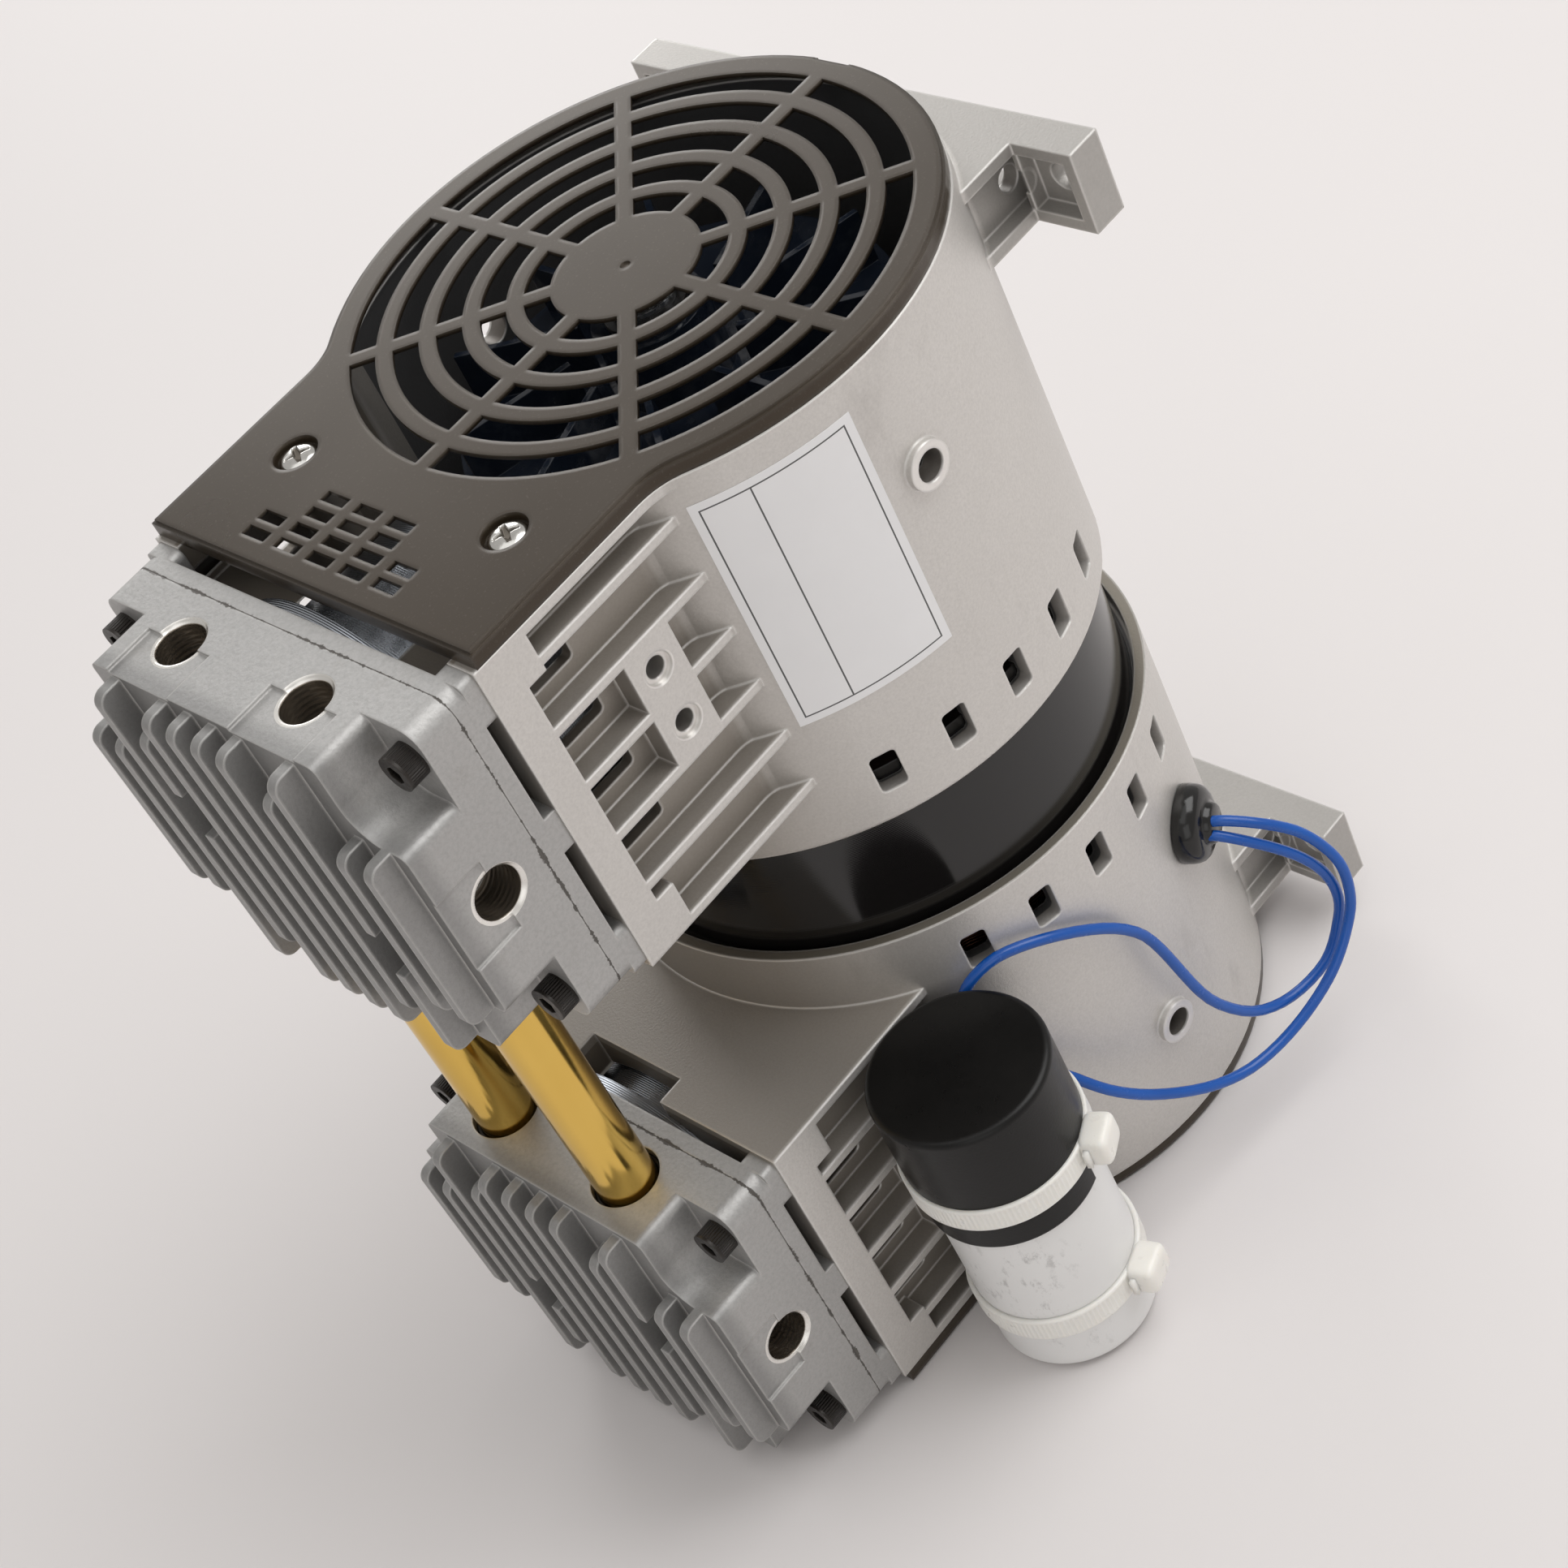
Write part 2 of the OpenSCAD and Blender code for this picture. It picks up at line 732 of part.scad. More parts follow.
module housing_casting() {
  wall_in = drum_r - drum_wall;
  difference() {
    union() {
      difference() {
        union() {
          disc(drum_r, rim_z, housing_top);
          neck_casting();
          foot_casting();
          side_boss(boss_d, drum_r + boss_rise);
        }
        // Drum: open rim, seat for the stator, room for the windings, crank chamber
        disc(drum_r - rim_wall, rim_z - over, stator_l / 2 - register_l);
        disc(stator_r + register_gap, rim_z, stator_l / 2);
        disc(wall_in - hub_lip, stator_l / 2 - over, spider_z + spider_t / 2);
        disc(wall_in, spider_z + spider_t / 2, housing_top + over);
        // Neck chamber
        bar([-neck_x + frame_t, -wall_in / 2], [-cavity_y, cavity_y],
          [spider_z + spider_t, housing_top + over]);
        difference() {
          bar([-neck_x + frame_t, 0], [-cavity_y, cavity_y], [neck_z + floor_t, housing_top]);
          disc(drum_r, 0, spider_z + spider_t);
        }
      }
      spider();
      cover_screw_posts();
    }
    // Opening for the cylinder barrel and the notch under it
    translate([0, 0, cyl_z]) rod_x(barrel_r + frame_bore_gap, barrel_end_x - over, neck_x + over);
    bar([-neck_x - over, -neck_x + notch_d], [-notch_w / 2, notch_w / 2],
      [neck_z - over, neck_z + notch_h]);
    // Gap in the frame under the fan cover
    bar([-neck_x - over, -neck_x + frame_t + over], (neck_w / 2 - frame_post_w) * [-1, 1],
      [housing_top - frame_gap_h, housing_top + over]);
    // Air windows, side bosses, flank openings
    side_boss(boss_bore_d, drum_r + boss_rise + over);
    for (s = [-1, 1]) {
      for (i = [-2:2]) rotate(s * (90 - i * window_step)) air_window();
      flank_openings(s);
    }
    // Foot holes and the threads in the pedestal
    for (s = [-1, 1]) {
      translate([foot_x, s * foot_pitch_y / 2, foot_z]) rotate([0, 90, 0])
        disc(foot_hole_d / 2, -foot_bar_t - over, over, small);
      translate([web_thread_x, s * pedestal_y, foot_z]) rotate([s * 90, 0, 0])
        disc(web_thread_d / 2, -over, pedestal_inset + pedestal_wall + over, small);
    }
    // Tapped holes for the head screws and the cover screws
    translate([0, 0, cyl_z]) at_head_screws()
      rod_x(head_screw_d / 2 + tap_gap, neck_x - screw_in, neck_x + over, small);
    at_cover_screws() disc(cover_screw_r + tap_gap, housing_top - cover_screw_l, housing_top + over, small);
  }
}

module upper_housing() { color([0.78, 0.77, 0.74]) upper() housing_casting(); }

module lower_housing() {
  color([0.78, 0.77, 0.74]) difference() {
    lower() housing_casting();
    at_grommet() disc(grommet_hole_r, 0, drum_r + over, small);
  }
}

// ---- Motor ----

module stator_core() {
  color([0.08, 0.08, 0.09]) translate([0, 0, mid]) difference() {
    disc(stator_r, -stator_l / 2, stator_l / 2);
    disc(stator_bore / 2, -stator_l / 2 - over, stator_l / 2 + over);
    for (i = [0:core_slot_count - 1]) rotate(360 * i / core_slot_count)
      bar([stator_bore / 2 - over, stator_bore / 2 + core_slot_d], [-core_slot_w / 2, core_slot_w / 2],
        [-stator_l / 2 - over, stator_l / 2 + over]);
    at_bolts() disc(bolt_r + bolt_hole_gap, -stator_l / 2 - over, stator_l / 2 + over, small);
  }
}

// End turns of the windings on both faces of the core
module stator_windings() {
  color([0.72, 0.4, 0.2]) both() rotate_extrude($fn = fine) translate([winding_in, stator_l / 2])
    translate([(winding_out - winding_in) / 2, (winding_z - stator_l / 2) / 2])
      round_rect(winding_out - winding_in, winding_z - stator_l / 2, edge_round);
}

module motor_bolts() {
  top = spider_z + spider_t;
  color([0.55, 0.55, 0.57]) translate([0, 0, mid]) at_bolts() {
    disc(bolt_r, -top, top, small);
    disc(bolt_head_r, top, top + bolt_head_h, small);
    disc(bolt_head_r, -top - bolt_head_h, -top, 6);
  }
}

// Ball bearing: two grooved races and a row of balls between them
module ball_bearing(r_out, r_in, w) {
  race = (r_out - r_in) * race_share;
  ball_r = (r_out - r_in) * ball_share;
  pitch_r = (r_out + r_in) / 2;
  rotate_extrude($fn = fine) difference() {
    union() {
      translate([r_out - race, -w / 2]) square([race, w]);
      translate([r_in, -w / 2]) square([race, w]);
    }
    translate([pitch_r, 0]) circle(ball_r + ball_gap, $fn = small);
  }
  for (i = [0:ball_count - 1]) rotate(360 * i / ball_count) translate([pitch_r, 0, 0])
    sphere(r = ball_r, $fn = small);
}

module motor_bearing() {
  translate([0, 0, bearing_z + bearing_w / 2])
    ball_bearing(bearing_d / 2, shaft_d / 2 + shaft_fit, bearing_w);
}

module upper_motor_bearing() { color([0.7, 0.7, 0.72]) upper() motor_bearing(); }
module lower_motor_bearing() { color([0.7, 0.7, 0.72]) lower() motor_bearing(); }

module motor_shaft() {
  step_z = bearing_z + bearing_w;
  color([0.65, 0.66, 0.68]) translate([0, 0, mid]) {
    disc(shaft_d / 2, -step_z, step_z);
    disc(shaft_neck_r, -shaft_end, shaft_end);
  }
}

module rotor() {
  r = stator_bore / 2 - air_gap;
  color([0.5, 0.5, 0.52]) translate([0, 0, mid]) difference() {
    union() {
      disc(r, -stator_l / 2, stator_l / 2);
      for (s = [-1, 1]) translate([0, 0, s * (stator_l + end_ring_t) / 2])
        ring(end_ring_r, end_ring_in, -end_ring_t / 2 - over, end_ring_t / 2);
    }
    disc(shaft_d / 2, -stator_l, stator_l);
  }
}

// ---- Crank ----

// Eccentric with its counterweight. dir turns the throw: 1 toward +X, -1 toward -X
module eccentric(dir) {
  z0 = cyl_z - rod_t / 2 - rod_side_gap;
  z1 = cyl_z + rod_t / 2 + rod_side_gap;
  weight_y = weight_r * weight_share;
  difference() {
    union() {
      disc(collar_disc_r, z0 - collar_t, z0);
      translate([dir * throw, 0, 0]) disc(journal_r, z0 - over, z1 + over);
      disc(collar_disc_r, z1, z1 + weight_t);
      // Part of a disc opposite the throw
      intersection() {
        disc(weight_r, z1, z1 + weight_t);
        rotate(dir > 0 ? 180 : 0) bar([0, weight_r], [-weight_y, weight_y], [z1, z1 + weight_t]);
      }
    }
    disc(shaft_neck_r, 0, mid);
  }
}

module upper_eccentric() { color([0.45, 0.45, 0.47]) upper() eccentric(1); }
module lower_eccentric() { color([0.45, 0.45, 0.47]) lower() eccentric(-1); }

module fan() {
  difference() {
    union() {
      disc(fan_hub_r, fan_z, fan_z + fan_l - over);
      disc(fan_r, fan_z, fan_z + fan_disc_t);
      for (a = [0:360 / blade_count:359]) rotate(a) translate([blade_in, 0, 0]) rotate(blade_lean)
        bar([0, fan_r - blade_in - blade_t], [-blade_t / 2, blade_t / 2], [fan_z, fan_z + blade_h]);
    }
    disc(shaft_neck_r, fan_z - over, mid);
  }
}

module upper_fan() { color([0.25, 0.25, 0.27]) upper() fan(); }
module lower_fan() { color([0.25, 0.25, 0.27]) lower() fan(); }

// Open retaining rings that hold the fans on the shaft ends
module fan_clips() {
  color([0.3, 0.3, 0.32]) both() difference() {
    ring(clip_r, shaft_neck_r, fan_z + fan_l, fan_z + fan_l + clip_t);
    bar([0, clip_r + over], [-clip_slit / 2, clip_slit / 2],
      [fan_z + fan_l - over, fan_z + fan_l + clip_t + over]);
  }
}

// ---- Rods and pistons ----

module big_end_bearing(dir) {
  translate([dir * throw, 0, cyl_z])
    ball_bearing(big_bearing_d / 2, journal_r + journal_gap, big_bearing_w);
}

module upper_big_end_bearing() { color([0.7, 0.7, 0.72]) upper() big_end_bearing(1); }
module lower_big_end_bearing() { color([0.7, 0.7, 0.72]) lower() big_end_bearing(-1); }

module connecting_rod(dir) {
  ring_r = big_bearing_d / 2 + big_ring_wall;
  translate([dir * throw, 0, cyl_z]) difference() {
    union() {
      disc(ring_r, -rod_t / 2, rod_t / 2);
      translate([-rod_l, 0, 0]) disc(eye_r, -eye_half, eye_half);
      bar([-rod_l, -big_bearing_d / 2], [-rod_shank_w / 2, rod_shank_w / 2], [-rod_t / 2, rod_t / 2]);
    }
    disc(big_bearing_d / 2, -rod_t, rod_t);
    translate([-rod_l, 0, 0]) disc(pin_r, -eye_half - over, eye_half + over);
    // Channels that make the shank an I section
    for (s = [-1, 1]) translate([0, 0, s * (rod_t / 2 + over)])
      bar([-rod_l + eye_r + rod_web_t, -ring_r - rod_web_t], [-rod_web_w / 2, rod_web_w / 2],
        [-rod_web_t - over, rod_web_t + over]);
  }
}

module upper_connecting_rod() { color([0.72, 0.72, 0.7]) upper() connecting_rod(1); }
module lower_connecting_rod() { color([0.72, 0.72, 0.7]) lower() connecting_rod(-1); }

module wrist_pin(dir) {
  translate([dir * throw - rod_l, 0, cyl_z]) ring(pin_r, pin_r / 2, -pin_half, pin_half);
}

module upper_wrist_pin() { color([0.6, 0.6, 0.62]) upper() wrist_pin(1); }
module lower_wrist_pin() { color([0.6, 0.6, 0.62]) lower() wrist_pin(-1); }

// Crown of a piston, as a distance toward -X, at its place for this throw
function crown_x(dir) = seam_x - crown_gap - (dir > 0 ? stroke : 0);

module piston(dir) {
  r = bore_r - piston_gap;
  x1 = crown_x(dir);
  x0 = x1 - piston_l;
  translate([0, 0, cyl_z]) difference() {
    union() {
      difference() {
        rod_x(r, x0, x1);
        rod_x(r - skirt_wall, x0 - over, x1 - crown_t);
      }
      // Lugs for the wrist pin
      intersection() {
        rod_x(r - skirt_wall / 2, x0, x1 - crown_t / 2);
        translate([-x1 + pin_x, 0, 0]) difference() {
          disc(lug_r, -bore_r, bore_r);
          disc(lug_r + over, -lug_z, lug_z);
        }
      }
    }
    translate([-x1 + pin_x, 0, 0]) disc(pin_r + pin_gap, -bore_r - over, bore_r + over);
    // Ring grooves
    for (g = [[seal_x, seal_w], [guide_x, guide_w]]) difference() {
      rod_x(bore_r, x1 - g[0] - g[1], x1 - g[0]);
      rod_x(r - groove_d, x0 - over, x1 + over);
    }
  }
}

module upper_piston() { color([0.75, 0.74, 0.72]) upper() piston(1); }
module lower_piston() { color([0.75, 0.74, 0.72]) lower() piston(-1); }

// Seal ring and guide ring of a piston
module piston_rings(dir) {
  r = bore_r - piston_gap;
  x1 = crown_x(dir);
  translate([0, 0, cyl_z]) for (g = [[seal_x, seal_w], [guide_x, guide_w]]) difference() {
    rod_x(bore_r - ring_gap, x1 - g[0] - g[1] + groove_gap, x1 - g[0] - groove_gap);
    rod_x(r - groove_d + groove_gap, x1 - g[0] - g[1] - over, x1 - g[0] + over);
  }
}

module upper_piston_rings() { color([0.25, 0.22, 0.2]) upper() piston_rings(1); }
module lower_piston_rings() { color([0.25, 0.22, 0.2]) lower() piston_rings(-1); }

// ---- Cylinders and valve gear ----

module cylinder_casting() {
  translate([0, 0, cyl_z]) difference() {
    union() {
      plate_x(plate_x, seam_x) round_rect(head_w, head_h, plate_round);
      // Posts that bear on the end frame of the neck, with open windows between them
      plate_x(neck_x, plate_x + over) {
        for (s = [-1, 1], t = [-1, 1]) translate([s * (head_w - post_w) / 2, t * (head_h - post_h) / 2])
          round_rect(post_w, post_h, edge_round);
        square([head_w, side_post_h], center = true);
      }
      rod_x(collar_r, neck_x, seam_x - over);
      rod_x(barrel_r, barrel_end_x, seam_x);
    }
    rod_x(bore_r, barrel_end_x - over, seam_x + over);
    at_head_screws() rod_x(head_screw_d / 2 + clear_gap, neck_x - over, seam_x + over, small);
  }
}

module upper_cylinder() { color([0.7, 0.69, 0.67]) upper() cylinder_casting(); }
module lower_cylinder() { color([0.7, 0.69, 0.67]) lower() cylinder_casting(); }

module valve_plate() {
  back_x = seam_x + valve_plate_t;
  translate([0, 0, cyl_z]) difference() {
    rod_x(pocket_r - valve_plate_gap, seam_x, back_x);
    for (s = [-1, 1]) translate([0, s * valve_hole_y, 0]) {
      translate([0, 0, -valve_hole_z]) rod_x(valve_hole_d / 2, seam_x - over, back_x + over, small);
      translate([0, 0, reed_l / 2]) rod_x(reed_screw_d / 2, seam_x - over, back_x + over, small);
    }
  }
}

module upper_valve_plate() { color([0.6, 0.6, 0.62]) upper() valve_plate(); }
module lower_valve_plate() { color([0.6, 0.6, 0.62]) lower() valve_plate(); }

// An inlet reed on the bore side and an outlet reed on the head side of a plate, with their rivets
module reed_pair() {
  for (s = [-1, 1]) let (x0 = s > 0 ? seam_x - reed_t : seam_x + valve_plate_t)
    translate([0, s * valve_hole_y, cyl_z]) {
      plate_x(x0, x0 + reed_t) round_rect(reed_w, reed_l + reed_w, reed_w / 2 - over);
      translate([0, 0, reed_l / 2])
        rod_x(reed_screw_d / 2, seam_x - reed_t, seam_x + valve_plate_t + reed_t, small);
    }
}

module reed_valves() { color([0.5, 0.55, 0.62]) both() reed_pair(); }

module head_gasket() {
  x0 = seam_x + valve_plate_t;
  translate([0, 0, cyl_z]) plate_x(x0, seam_x + pocket_d) {
    difference() {
      circle(pocket_r - valve_plate_gap, $fn = fine);
      circle(pocket_r - valve_plate_gap - gasket_w, $fn = fine);
    }
    square([2 * chamber_y0 - 2 * over, 2 * (pocket_r - gasket_w)], center = true);
  }
}

module upper_head_gasket() { color([0.15, 0.15, 0.15]) upper() head_gasket(); }
module lower_head_gasket() { color([0.15, 0.15, 0.15]) lower() head_gasket(); }

// ---- Cylinder heads ----

// Quarter of a square with a round bite, the fillet of one inner corner
module corner_fill() {
  difference() {
    translate([-over, -over]) square(corner_fillet + over);
    translate([corner_fillet, corner_fillet]) circle(corner_fillet, $fn = small);
  }
}

// Cross-shaped front of a head, with concave fillets in its four corners
module head_front() {
  round_rect(2 * top_block_y, head_h, block_round);
  round_rect(head_w, 2 * side_block_z, block_round);
  for (a = [0, 1], b = [0, 1]) mirror([a, 0]) mirror([0, b])
    translate([top_block_y, side_block_z]) corner_fill();
}

// One fin, drawn in X and Z, with round outer corners
module fin(half) {
  translate([-front_x - fin_l, 0, 0]) rotate([90, 0, 0]) linear_extrude(fin_t, center = true) {
    translate([fin_round, -half]) square([fin_l - fin_round + over, 2 * half]);
    translate([0, -half + fin_round]) square([fin_l + over, 2 * (half - fin_round)]);
    for (t = [-1, 1]) translate([fin_round, t * (half - fin_round)]) circle(fin_round, $fn = small);
  }
}

// Half length of each fin, from the near side to the far side
function fin_half(i) = i < 2 || i > 9 ? side_block_z
  : head_h / 2 - (i == 3 || i == 8 ? fin_port_inset : fin_tall_inset);

module fins() {
  for (i = [0:fin_count - 1]) translate([0, (i - (fin_count - 1) / 2) * fin_pitch, 0]) difference() {
    fin(fin_half(i));
    // Two fins stop short of a flat pad
    if (i == 2 || i == 8) mirror([0, 0, i == 2 ? 1 : 0])
      bar([-front_x - fin_l - over, -front_x - over], [-fin_t, fin_t], [fin_gap_z0, fin_gap_z1]);
  }
}

// Pipe thread port with its mouth at the origin and its passage down to a chamber along +Z
module port(depth) {
  minor_r = port_d * port_minor_share / 2;
  disc(minor_r, -over, port_l, small);
  disc(passage_d / 2, 0, depth + over, small);
  cylinder(r1 = port_d / 2, r2 = minor_r, h = port_sink_h, $fn = small);
}

// Lower flat round a port, on the fin side of the port's axis
module port_flat(w) {
  translate([-front_x - over, -w / 2, -pad_step]) cube([front_x + over - port_x, w, pad_step + over]);
}

module head_casting() {
  translate([0, 0, cyl_z]) difference() {
    union() {
      plate_x(seam_x, seat_x) round_rect(head_w, head_h, plate_round);
      plate_x(seat_x - over, front_x) head_front();
      fins();
    }
    // Pocket for the valve plate, inlet chamber and outlet chamber
    rod_x(pocket_r, seam_x - over, seam_x + pocket_d);
    for (s = [-1, 1]) plate_x(seam_x + pocket_d - over, front_x - chamber_x)
      translate([s * (chamber_y0 + chamber_y1) / 2, 0])
        round_rect(chamber_y1 - chamber_y0, 2 * chamber_z, edge_round);
    // Ports on the outer face, each with its flat, and tube sockets on the inner face
    at_ports() {
      translate([0, 0, head_h / 2]) rotate([180, 0, 0]) port(head_h / 2 - chamber_z);
      disc(socket_d / 2, -head_h / 2 - over, -head_h / 2 + socket_l);
      disc(passage_d / 2, -head_h / 2, -chamber_z + over, small);
    }
    for (s = [-1, 1]) translate([0, s * (pad_y0 + pad_y1) / 2, head_h / 2]) port_flat(pad_y1 - pad_y0);
    // Ports on the sides
    for (s = [-1, 1]) translate([0, s * head_w / 2, 0]) rotate([s * 90, 0, 0]) {
      translate([-port_x, 0, 0]) port(head_w / 2 - chamber_y1);
      mirror([0, 0, 1]) port_flat(2 * side_pad_z);
    }
    at_head_screws() rod_x(head_screw_d / 2 + clear_gap, seam_x - over, seat_x + over, small);
  }
}

module upper_cylinder_head() { color([0.72, 0.73, 0.75]) upper() head_casting(); }
module lower_cylinder_head() { color([0.72, 0.73, 0.75]) lower() head_casting(); }

// Socket head screw along X
module head_screw() {
  head_r = head_screw_d * screw_head_share / 2;
  difference() {
    union() {
      rod_x(head_screw_d / 2, neck_x - screw_in + over, seat_x, small);
      rod_x(head_r, seat_x, seat_x + head_screw_d);
    }
    rod_x(head_screw_d * hex_share, seat_x + head_screw_d * hex_depth_share,
      seat_x + head_screw_d + over, 6);
  }
}

module head_screws() {
  color([0.12, 0.12, 0.12]) both() translate([0, 0, cyl_z]) at_head_screws() head_screw();
}

// ---- Connecting tubes ----

module connecting_tube(s) {
  half = cyl_z - head_h / 2 + tube_l_in;
  translate([-port_x, s * port_y, mid]) ring(tube_d / 2, tube_d / 2 - tube_wall, -half, half);
}

module near_connecting_tube() { color([0.8, 0.62, 0.2]) connecting_tube(-1); }
module far_connecting_tube() { color([0.8, 0.62, 0.2]) connecting_tube(1); }

module tube_o_rings() {
  r = (socket_d - tube_d) / 4;
  color([0.1, 0.1, 0.1]) both() at_ports() translate([0, 0, cyl_z - head_h / 2 + o_ring_depth])
    rotate_extrude($fn = fine) translate([r + tube_d / 2, 0]) circle(r, $fn = small);
}

// ---- Capacitor ----

module at_can() { translate([can_x, can_y, 0]) children(); }

module capacitor_can() {
  r = can_d / 2;
  color([0.9, 0.9, 0.88]) at_can() rotate_extrude($fn = fine) {
    translate([0, can_z]) square([r - can_round, can_h]);
    translate([0, can_z + can_round]) square([r, can_h - 2 * can_round]);
    for (z = [can_z + can_round, can_z + can_h - can_round])
      translate([r - can_round, z]) circle(can_round, $fn = small);
  }
}

module capacitor_boot() {
  r = boot_d / 2;
  color([0.08, 0.08, 0.08]) at_can() difference() {
    union() {
      disc(r - boot_waist, boot_z, boot_waist_z + tie_w);
      disc(r, boot_waist_z + tie_w, boot_top_z - boot_round);
      rotate_extrude($fn = fine) {
        translate([0, boot_top_z - 2 * boot_round]) square([r - boot_round, 2 * boot_round]);
        translate([r - boot_round, boot_top_z - boot_round]) circle(boot_round, $fn = small);
      }
    }
    disc(can_d / 2, boot_z - over, boot_top_z - boot_roof);
    // Notch in the skirt below the tie's head
    rotate(boot_notch_from) translate([0, 0, boot_z - over])
      rotate_extrude(angle = boot_notch_to - boot_notch_from, $fn = fine)
        translate([can_d / 2 - can_round, 0]) square([can_round + r, boot_waist_z - boot_z + over]);
  }
}

module capacitor_terminals() {
  color([0.8, 0.75, 0.6]) at_can() for (s = [-1, 1]) translate([0, s * terminal_y, can_z + can_h])
    translate([-terminal_t / 2, -terminal_w / 2, 0]) cube([terminal_t, terminal_w, terminal_h]);
}

// Nylon tie: a band round the capacitor with its square head
module tie(r, z, turn) {
  at_can() {
    ring(r + tie_t, r, z, z + tie_w);
    translate([0, 0, z + tie_w / 2]) rotate(turn) translate([r + tie_t / 2, 0, 0])
      bar([0, tie_head_t], [-tie_head_l / 2, tie_head_l / 2], [-tie_head_w / 2, tie_head_w / 2]);
  }
}

module boot_tie() { color([0.92, 0.91, 0.86]) tie(boot_d / 2 - boot_waist, boot_tie_z, boot_tie_turn); }
module can_tie() { color([0.92, 0.91, 0.86]) tie(can_d / 2, can_tie_z, can_tie_turn); }

// ---- Grommet, wires, label ----

module at_grommet() { translate([0, 0, mid + grommet_z]) rotate([0, 90, grommet_turn]) children(); }

module wire_grommet() {
  color([0.1, 0.1, 0.1]) difference() {
    at_grommet() {
      disc(grommet_hole_r, drum_r - drum_wall - grommet_in, drum_r, small);
      rotate_extrude($fn = fine) {
        square([grommet_r, drum_r + grommet_h - grommet_round]);
        square([grommet_r - grommet_round, drum_r + grommet_h]);
        translate([grommet_r - grommet_round, drum_r + grommet_h - grommet_round])
          circle(grommet_round, $fn = small);
        square([grommet_nose_r, drum_r + grommet_h + grommet_nose_h]);
      }
    }
    // Under side of the flange, shaped to the drum, with the plug left in the hole
    difference() {
      disc(drum_r, 0, overall_h);
      at_grommet() disc(grommet_hole_r, drum_r - drum_wall - grommet_in, drum_r + over, small);
    }
  }
}

module outer_lead_wire() { color([0.1, 0.3, 0.8]) wire(outer_route, wire_d); }
module inner_lead_wire() { color([0.1, 0.3, 0.8]) wire(inner_route, wire_d); }

module rating_label() {
  r = drum_r + label_lift;
  color([0.93, 0.93, 0.92]) translate([0, 0, mid + label_z]) rotate(label_from)
    rotate_extrude(angle = label_to - label_from, $fn = fine) translate([r, 0]) square([label_t, label_w]);
}

upper_fan_cover();
lower_fan_cover();
cover_screws();
upper_housing();
lower_housing();
stator_core();
stator_windings();
motor_bolts();
upper_motor_bearing();
lower_motor_bearing();
motor_shaft();
rotor();
upper_eccentric();
lower_eccentric();
upper_fan();
lower_fan();
fan_clips();
upper_big_end_bearing();
lower_big_end_bearing();
upper_connecting_rod();
lower_connecting_rod();
upper_wrist_pin();
lower_wrist_pin();
upper_piston();
lower_piston();
upper_piston_rings();
lower_piston_rings();
upper_cylinder();
lower_cylinder();
upper_valve_plate();
lower_valve_plate();
reed_valves();
upper_head_gasket();
lower_head_gasket();
upper_cylinder_head();
lower_cylinder_head();
head_screws();
near_connecting_tube();
far_connecting_tube();
tube_o_rings();
capacitor_can();
capacitor_boot();
capacitor_terminals();
boot_tie();
can_tie();
wire_grommet();
outer_lead_wire();
inner_lead_wire();
rating_label();
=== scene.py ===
"""An oil-less twin piston air pump, standing on its lower fan cover.

All is in metres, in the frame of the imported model: Z is the motor's axis, and the heads face -X.
"""
import bpy
import numpy as np
from mathutils import Matrix, Vector


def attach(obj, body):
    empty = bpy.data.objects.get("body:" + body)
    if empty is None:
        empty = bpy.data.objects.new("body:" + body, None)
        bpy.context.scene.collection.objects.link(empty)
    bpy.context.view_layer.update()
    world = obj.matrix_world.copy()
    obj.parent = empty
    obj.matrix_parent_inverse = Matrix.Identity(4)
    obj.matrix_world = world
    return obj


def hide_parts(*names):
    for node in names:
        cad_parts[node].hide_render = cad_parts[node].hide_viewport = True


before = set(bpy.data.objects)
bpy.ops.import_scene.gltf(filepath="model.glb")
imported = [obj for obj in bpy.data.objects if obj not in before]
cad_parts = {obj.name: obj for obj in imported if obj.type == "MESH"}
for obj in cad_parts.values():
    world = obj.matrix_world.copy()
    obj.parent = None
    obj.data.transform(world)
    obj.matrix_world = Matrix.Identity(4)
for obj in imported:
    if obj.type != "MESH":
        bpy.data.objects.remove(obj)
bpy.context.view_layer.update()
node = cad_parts

# ---- Camera ----
# It stands where the photograph was taken from, above the near corner of the cylinder heads, and
# looks down at the middle of the pump. Its place and lens were fitted to the pump's own edges.
eye = bpy.data.objects.new("camera", bpy.data.cameras.new("camera"))
bpy.context.scene.collection.objects.link(eye)
eye.data.sensor_width = 36
eye.data.lens = 72.6
eye.data.clip_end = 20
eye.matrix_world = Matrix((
    (0.62754, 0.69406, -0.35281, -0.2846),
    (-0.69332, 0.29197, -0.65884, -0.4849),
    (-0.35427, 0.65805, 0.66443, 0.6041),
    (0, 0, 0, 1),
))
bpy.context.scene.camera = eye


# ---- Lead wires ----
# Two stranded copper leads in blue PVC. They leave the rubber grommet in the lower drum, hang in
# a loop and run up behind the capacitor into its boot. Each is a round tube along its own line.
class Signal:
    """A node's output that takes part in sums: each operator adds one Math node."""

    def __init__(self, paint, socket):
        self.paint, self.socket = paint, socket

    def __add__(self, other): return self.paint.one("ADD", self, other)
    def __radd__(self, other): return self.paint.one("ADD", other, self)
    def __sub__(self, other): return self.paint.one("SUBTRACT", self, other)
    def __rsub__(self, other): return self.paint.one("SUBTRACT", other, self)
    def __mul__(self, other): return self.paint.one("MULTIPLY", self, other)
    def __rmul__(self, other): return self.paint.one("MULTIPLY", other, self)
    def __pow__(self, other): return self.paint.one("POWER", self, other)
    def __lt__(self, other): return self.paint.one("LESS_THAN", self, other)
    def __gt__(self, other): return self.paint.one("GREATER_THAN", self, other)


